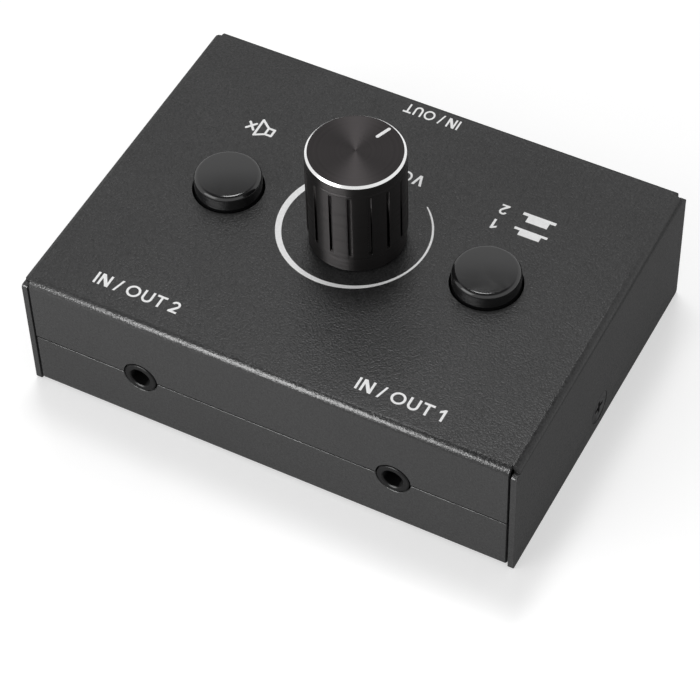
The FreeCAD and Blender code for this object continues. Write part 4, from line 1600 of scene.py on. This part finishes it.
@dataclass(frozen=True)
class Lettering:
    """Plain bold capitals and numbers, one unit high, as outlines with their holes."""

    stroke: float = 0.165
    gap: float = 0.17
    space: float = 0.22
    steps: int = 20

    def glyph(self, sign: str) -> list[list[Point2]]:
        """Return a sign's outer edge, and its hole where it has one."""
        bold, steps = self.stroke, self.steps
        bowl = 0.38
        shapes: dict[str, list[list[Point2]]] = {
            "I": [[(0, 0), (bold, 0), (bold, 1), (0, 1)]],
            "N": [[(0, 0), (bold, 0), (bold, 0.64), (0.56, 0), (0.78, 0), (0.78, 1),
                   (0.78 - bold, 1), (0.78 - bold, 0.36), (0.22, 1), (0, 1)]],
            "T": [[(0.37 - bold / 2, 0), (0.37 + bold / 2, 0), (0.37 + bold / 2, 1 - bold),
                   (0.74, 1 - bold), (0.74, 1), (0, 1), (0, 1 - bold),
                   (0.37 - bold / 2, 1 - bold)]],
            "L": [[(0, 0), (0.6, 0), (0.6, bold), (bold, bold), (bold, 1), (0, 1)]],
            "V": [[(0.32, 0), (0.54, 0), (0.86, 1), (0.64, 1), (0.43, 0.28), (0.22, 1), (0, 1)]],
            "/": [[(0, -0.02), (0.15, -0.02), (0.44, 1), (0.29, 1)]],
            "1": [[(0.24, 0), (0.24 + bold, 0), (0.24 + bold, 1), (0.27, 1), (0, 0.78),
                   (0, 0.6), (0.24, 0.74)]],
            "O": [[(0.5 + x, 0.5 + y) for x, y in arc((0, 0), 0.5, 0, 360, 2 * steps)[:-1]],
                  [(0.5 + x, 0.5 + 1.02 * y) for x, y in
                   arc((0, 0), 0.5 - bold, 0, 360, 2 * steps)[:-1]]],
            "U": [[(0, 1)] + arc((bowl, bowl), bowl, 180, 360, steps)
                  + [(2 * bowl, 1), (2 * bowl - bold, 1)]
                  + arc((bowl, bowl), bowl - bold, 360, 180, steps) + [(bold, 1)]],
            "2": [arc((0.32, 0.685), 0.315, 168, -38, steps)
                  + [(0.31, bold - 0.01), (0.64, bold - 0.01), (0.64, 0), (0, 0), (0, 0.13)]
                  + arc((0.32, 0.685), 0.315 - bold, -32, 168, steps)],
        }
        return shapes[sign]

    def line(self, text: str) -> list[list[list[Point2]]]:
        """Return the glyphs of a text, set side by side from x 0."""
        start, glyphs = 0.0, []
        for sign in text:
            if sign == " ":
                start += self.space
                continue
            rings = self.glyph(sign)
            glyphs.append([[(start + x, y) for x, y in ring] for ring in rings])
            start += max(x for x, _ in rings[0]) + self.gap
        return glyphs


@dataclass
class Printing:
    """The white ink on the top face. Lengths are in millimetres."""

    surface: float = 24.6
    ink: float = 0.02
    sign_stroke: float = 0.42
    layer: float = 0.0004
    arc_centre: Point2 = (-0.88, 1.15)
    arc_radius: float = 12.58
    arc_start: float = 130.0
    arc_end: float = 409.0
    arc_widths: tuple[Point2, ...] = ((0.0, 1.2), (0.15, 1.12), (0.25, 1.05), (0.39, 0.93),
                                      (0.5, 0.79), (0.61, 0.6), (0.68, 0.45), (0.75, 0.37),
                                      (0.9, 0.35), (0.97, 0.3), (1.0, 0.2))
    letters: Lettering = Lettering()
    legends: tuple[Legend, ...] = (
        Legend("legend_rear", "IN / OUT", (-6.2, 28.5), (3.95, 30.65), Way.FROM_REAR),
        Legend("legend_jack_2", "IN / OUT 2", (-33.4, -27.8), (-18.0, -25.4), Way.FROM_FRONT),
        Legend("legend_jack_1", "IN / OUT 1", (14.2, -28.5), (29.3, -26.1), Way.FROM_FRONT),
        Legend("legend_volume", "VOL", (-1.5, 14.2), (4.4, 16.5), Way.FROM_REAR),
        Legend("legend_select_2", "2", (18.2, 14.6), (19.6, 16.8), Way.FROM_REAR),
        Legend("legend_select_1", "1", (18.4, 11.1), (19.4, 13.25), Way.FROM_REAR),
    )

    def width_at(self, share: float) -> float:
        """Return the arc's width at a share of its length."""
        for (a, wide_a), (b, wide_b) in zip(self.arc_widths, self.arc_widths[1:]):
            if share <= b:
                return wide_a + (wide_b - wide_a) * (share - a) / (b - a)
        return self.arc_widths[-1][1]

    def volume_arc(self) -> bpy.types.Object:
        """Return the arc round the knob, which tapers to a point."""
        steps = 180
        lines: list[list[Point2]] = []
        for side in (0.5, -0.5):
            edge = []
            for k in range(steps + 1):
                turn = math.radians(self.arc_start + (self.arc_end - self.arc_start) * k / steps)
                radius = self.arc_radius + side * self.width_at(k / steps)
                edge.append((self.arc_centre[0] + radius * math.cos(turn),
                             self.arc_centre[1] + radius * math.sin(turn)))
            lines.append(edge)
        outer, inner = lines
        bm = bmesh.new()
        low, high = self.surface, self.surface + self.ink
        rows = [[bm.verts.new((x, y, z)) for x, y in line] for line, z in
                ((outer, low), (outer, high), (inner, high), (inner, low))]
        for first, second in zip(rows, rows[1:] + rows[:1]):
            for k in range(steps):
                bm.faces.new((first[k], first[k + 1], second[k + 1], second[k]))
        for k in (0, steps):
            bm.faces.new([row[k] for row in rows])
        return made(bm, "volume_arc")

    def word(self, legend: Legend) -> bpy.types.Object:
        """Return a legend as a thin solid that fills its box."""
        glyphs = self.letters.line(legend.text)
        every = [point for rings in glyphs for point in rings[0]]
        wide, tall = max(x for x, _ in every), max(y for _, y in every)
        turned = legend.way is Way.FROM_REAR

        def placed(ring: Sequence[Point2]) -> list[Point2]:
            """Return an edge of a glyph in its place on the case."""
            shares = [(x / wide, y / tall) for x, y in ring]
            if turned:
                shares = [(1.0 - x, 1.0 - y) for x, y in shares]
            return [(legend.low[0] + x * (legend.high[0] - legend.low[0]),
                     legend.low[1] + y * (legend.high[1] - legend.low[1])) for x, y in shares]

        bm = bmesh.new()
        for outer, *holes in glyphs:
            slab(bm, placed(outer), self.surface, self.surface + self.ink,
                 [placed(hole) for hole in holes])
        return made(bm, legend.name)

    def stroke(self, bm: bmesh.types.BMesh, start: Point2, end: Point2, width: float,
               level: float) -> None:
        """Draw a straight round-ended stroke.

        Args:
            bm: The mesh to draw into.
            start: One end of its middle line.
            end: The other end.
            width: The stroke's width.
            level: How far its top is above the ink of other strokes that it crosses.
        """
        heading = math.degrees(math.atan2(end[1] - start[1], end[0] - start[0]))
        outline = (arc(end, width / 2, heading - 90, heading + 90, 8)
                   + arc(start, width / 2, heading + 90, heading + 270, 8))
        slab(bm, outline, self.surface, self.surface + self.ink + level)

    def mute_sign(self) -> bpy.types.Object:
        """Return the loudspeaker with a cross beside it."""
        bm = bmesh.new()
        cone = [(-24.4, 14.9), (-26.1, 16.25), (-26.05, 12.5), (-24.4, 13.42)]
        chest = [(-24.4, 13.42), (-23.25, 13.42), (-23.25, 14.9), (-24.4, 14.9)]
        cross = [((-28.0, 13.48), (-26.75, 14.95)), ((-27.95, 14.98), (-26.65, 13.48))]
        lines = list(zip(cone, cone[1:] + cone[:1])) + list(zip(chest, chest[1:] + chest[:1]))
        for k, (start, end) in enumerate(lines + cross):
            self.stroke(bm, start, end, self.sign_stroke, self.layer * k)
        return made(bm, "mute_sign")

    def press_sign(self, name: str, bar: tuple[Point2, Point2],
                   block: tuple[Point2, Point2]) -> bpy.types.Object:
        """Return the sign of a button, drawn as a bar with a block on it.

        Args:
            name: The piece's name.
            bar: The bar's lowest and highest corner.
            block: The block's lowest and highest corner, its high edge on the bar's low edge.
        """
        (x0, y0), (x1, y1) = bar
        (u0, v0), (u1, _) = block
        outline = [(x0, y0), (u0, y0), (u0, v0), (u1, v0), (u1, y0), (x1, y0), (x1, y1), (x0, y1)]
        bm = bmesh.new()
        slab(bm, outline, self.surface, self.surface + self.ink)
        return made(bm, name)

    def build(self, materials: dict[str, bpy.types.Material]) -> None:
        """Make and dress every printed piece."""
        pieces = [self.volume_arc(), self.mute_sign(),
                  self.press_sign("sign_raised", ((22.05, 16.1), (27.9, 16.7)),
                                  ((23.1, 14.8), (26.9, 16.1))),
                  self.press_sign("sign_pressed", ((22.05, 12.7), (27.9, 13.2)),
                                  ((23.1, 11.7), (26.9, 12.7)))]
        pieces += [self.word(legend) for legend in self.legends]
        for piece in pieces:
            dress(piece, materials["ink"])
            mount(piece, Body.CASE)


# ------------------------------------------------------------------ inner parts

class InnerParts:
    """The carried-over nodes inside the case, which only need their finish."""

    FINISHES: dict[str, str] = {
        "circuit_board": "board", "board_standoffs": "plated", "board_screws": "plated",
        "pot_strap": "plated", "pot_rear_plate": "pot", "pot_wafers": "wafer",
        "pot_spacers": "pot", "pot_bushing": "plated", "pot_terminals": "contact",
        "pot_washer": "plated", "pot_nut": "plated", "pot_shaft": "shaft", "pot_rotors": "pot",
        "pot_wipers": "contact", "knob_core": "pot",
        "jack_1_contacts": "contact", "jack_2_contacts": "contact",
        "jack_common_contacts": "contact",
        "select_switch_housing": "housing", "select_switch_terminals": "contact",
        "select_switch_latch": "plated", "select_switch_plunger": "plunger",
        "mute_switch_housing": "housing", "mute_switch_terminals": "contact",
        "mute_switch_latch": "plated", "mute_switch_plunger": "plunger",
    }

    def build(self, materials: dict[str, bpy.types.Material]) -> None:
        """Dress every carried-over node."""
        for node, finish in self.FINISHES.items():
            dress(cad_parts[node], materials[finish])
        log.info("dressed %d inner nodes", len(self.FINISHES))


# ------------------------------------------------------------------ studio

@dataclass(frozen=True)
class Lamp:
    """A rectangular lamp that faces the object, in millimetres and watts.

    A lamp that is gloss_only puts soft highlights on the satin pieces. It sheds no light on matt
    surfaces and leaves polished pieces alone, which would mirror it from some sides.
    """

    name: str
    place: Point3
    size: Point2
    power: float
    aim: Point3 = (0.0, 0.0, 15.0)
    gloss_only: bool = False

    def hang(self, polished: Iterable[bpy.types.Object]) -> None:
        """Put the lamp in the scene.

        Args:
            polished: The pieces that a lamp that is gloss_only leaves alone.
        """
        data = bpy.data.lights.new(self.name, "AREA")
        data.shape = "RECTANGLE"
        data.size, data.size_y = self.size[0] * MM, self.size[1] * MM
        data.energy = self.power
        lamp = bpy.data.objects.new(self.name, data)
        lamp.location = [c * MM for c in self.place]
        towards = Vector(self.aim) - Vector(self.place)
        lamp.rotation_euler = towards.to_track_quat("-Z", "Y").to_euler()
        bpy.context.scene.collection.objects.link(lamp)
        if self.gloss_only:
            lamp.visible_diffuse = False
            spared = bpy.data.collections.new(self.name + "_spares")
            for piece in polished:
                spared.objects.link(piece)
            for entry in spared.collection_objects:
                entry.light_linking.link_state = "EXCLUDE"
            lamp.light_linking.receiver_collection = spared


@dataclass
class Studio:
    """Camera, floor, backdrop and lamps. Lengths are in millimetres, angles in degrees."""

    camera_place: Point3 = (144.993, -265.425, 356.722)
    camera_turn: Point3 = (39.94296, 1.20216, 27.54336)
    lens: float = 142.4526
    sensor: float = 36.0
    floor_size: float = 6000.0
    floor_gap: float = 0.02
    floor_colour: float = 0.6
    floor_lift: float = 0.5
    floor_roughness: float = 0.28
    floor_ior: float = 2.0
    sky: float = 0.62
    horizon: float = 0.03
    ceiling: float = 0.1
    ceiling_edge: Point2 = (0.7, 0.9)
    sky_top: float = 0.9
    lamps: tuple[Lamp, ...] = (
        Lamp("key", (-233.0, -366.0, 258.0), (300.0, 300.0), 0.7),
        Lamp("top", (-105.0, 175.0, 665.0), (160.0, 160.0), 1.2),
        Lamp("gleam", (-120.0, -392.0, 245.0), (400.0, 240.0), 5.5, gloss_only=True),
    )
    mirrors: tuple[str, ...] = ("select_cap_piece", "mute_cap_piece", "knob_end_face")

    def camera(self) -> None:
        """Set up the camera."""
        data = bpy.data.cameras.new("camera")
        data.lens = self.lens
        data.sensor_width = self.sensor
        data.clip_start, data.clip_end = 0.01, 20.0
        eye = bpy.data.objects.new("camera", data)
        eye.location = [c * MM for c in self.camera_place]
        eye.rotation_euler = Euler([math.radians(a) for a in self.camera_turn], "XYZ")
        bpy.context.scene.collection.objects.link(eye)
        bpy.context.scene.camera = eye

    def world(self) -> None:
        """Set up a backdrop that is white where it is seen or mirrored.

        What it sheds on matt surfaces rises from the horizon to straight overhead, and its
        mirrored ceiling is dimmer.
        """
        world = bpy.data.worlds.new("studio")
        world.use_nodes = True
        bpy.context.scene.world = world
        sheet = Tree(world.node_tree)
        back = world.node_tree.nodes["Background"]
        path = sheet.add("ShaderNodeLightPath")
        way = sheet.add("ShaderNodeTexCoord")
        parts = sheet.add("ShaderNodeSeparateXYZ", Vector=way.outputs["Generated"])
        seen = sheet.math("MAXIMUM", path.outputs["Is Camera Ray"],
                          path.outputs["Is Transmission Ray"])
        backdrop = sheet.math("MULTIPLY", path.outputs["Is Glossy Ray"], sheet.remap(
            parts.outputs["Z"], 1.0, 0.0, *self.ceiling_edge))
        dome = sheet.remap(parts.outputs["Z"], self.horizon, self.sky, 0.0, self.sky_top)
        over = sheet.remap(path.outputs["Is Glossy Ray"], dome, self.ceiling)
        sheet.feed(back.inputs["Color"], (1.0, 1.0, 1.0, 1.0))
        sheet.feed(back.inputs["Strength"], sheet.remap(
            sheet.math("MAXIMUM", seen, backdrop), over, 1.0))

    def floor(self) -> bpy.types.Object:
        """Lay the floor, which keeps the object's shadow, and return it."""
        half = self.floor_size / 2
        bm = bmesh.new()
        verts = [bm.verts.new((x * half, y * half, -self.floor_gap)) for x, y in
                 ((-1, -1), (1, -1), (1, 1), (-1, 1))]
        bm.faces.new(verts)
        plate = made(bm, "floor")
        if plate.data.polygons[0].normal.z < 0:
            plate.data.flip_normals()
        material = bpy.data.materials.new("floor_white")
        material.use_nodes = True
        sheet = Tree(material.node_tree)
        shader = material.node_tree.nodes["Principled BSDF"]
        tone = self.floor_colour
        sheet.feed(shader.inputs["Base Color"], (tone, tone, tone, 1.0))
        sheet.feed(shader.inputs["Roughness"], self.floor_roughness)
        sheet.feed(shader.inputs["IOR"], self.floor_ior)
        path = sheet.add("ShaderNodeLightPath")
        seen = sheet.math("MAXIMUM", path.outputs["Is Camera Ray"], sheet.math(
            "MAXIMUM", path.outputs["Is Glossy Ray"], path.outputs["Is Transmission Ray"]))
        glow = sheet.add("ShaderNodeEmission", Color=(1, 1, 1, 1),
                         Strength=sheet.math("MULTIPLY", seen, self.floor_lift))
        both = sheet.add("ShaderNodeAddShader")
        sheet.feed(both.inputs[0], shader.outputs[0])
        sheet.feed(both.inputs[1], glow.outputs[0])
        sheet.feed(material.node_tree.nodes["Material Output"].inputs["Surface"],
                   both.outputs[0])
        dress(plate, material)
        return plate

    def build(self) -> None:
        """Set up everything that is not part of the object."""
        bpy.context.scene.view_settings.view_transform = "Standard"
        self.camera()
        self.world()
        polished = [self.floor()] + [bpy.data.objects[name] for name in self.mirrors]
        for lamp in self.lamps:
            lamp.hang(polished)


def main() -> None:
    """Build the switch's looks and the studio, piece by piece."""
    logging.basicConfig(level=logging.INFO, format="%(name)s: %(message)s")
    materials = Palette().built(Effects.build())
    set_out = set_out_on_points()
    enclosure = Enclosure()
    caps = [ButtonCap("select", Body.SELECT), ButtonCap("mute", Body.MUTE)]
    knob = VolumeKnob()
    openings = [enclosure.ring((knob.x, knob.y), knob.bushing_opening)]
    openings += [cap.opening() for cap in caps]
    enclosure.build(materials, set_out, openings)
    for name, x, facing in (("jack_1", enclosure.jack_offset, -1),
                            ("jack_2", -enclosure.jack_offset, -1), ("jack_common", 0.0, 1)):
        Jack(name, x, facing).build(materials)
    for cap in caps:
        cap.build(materials)
        ReturnSpring(cap.name).build(materials)
    knob.build(materials, repeat_round_axis())
    Printing().build(materials)
    InnerParts().build(materials)
    Studio().build()


if __name__ == "__main__":
    main()
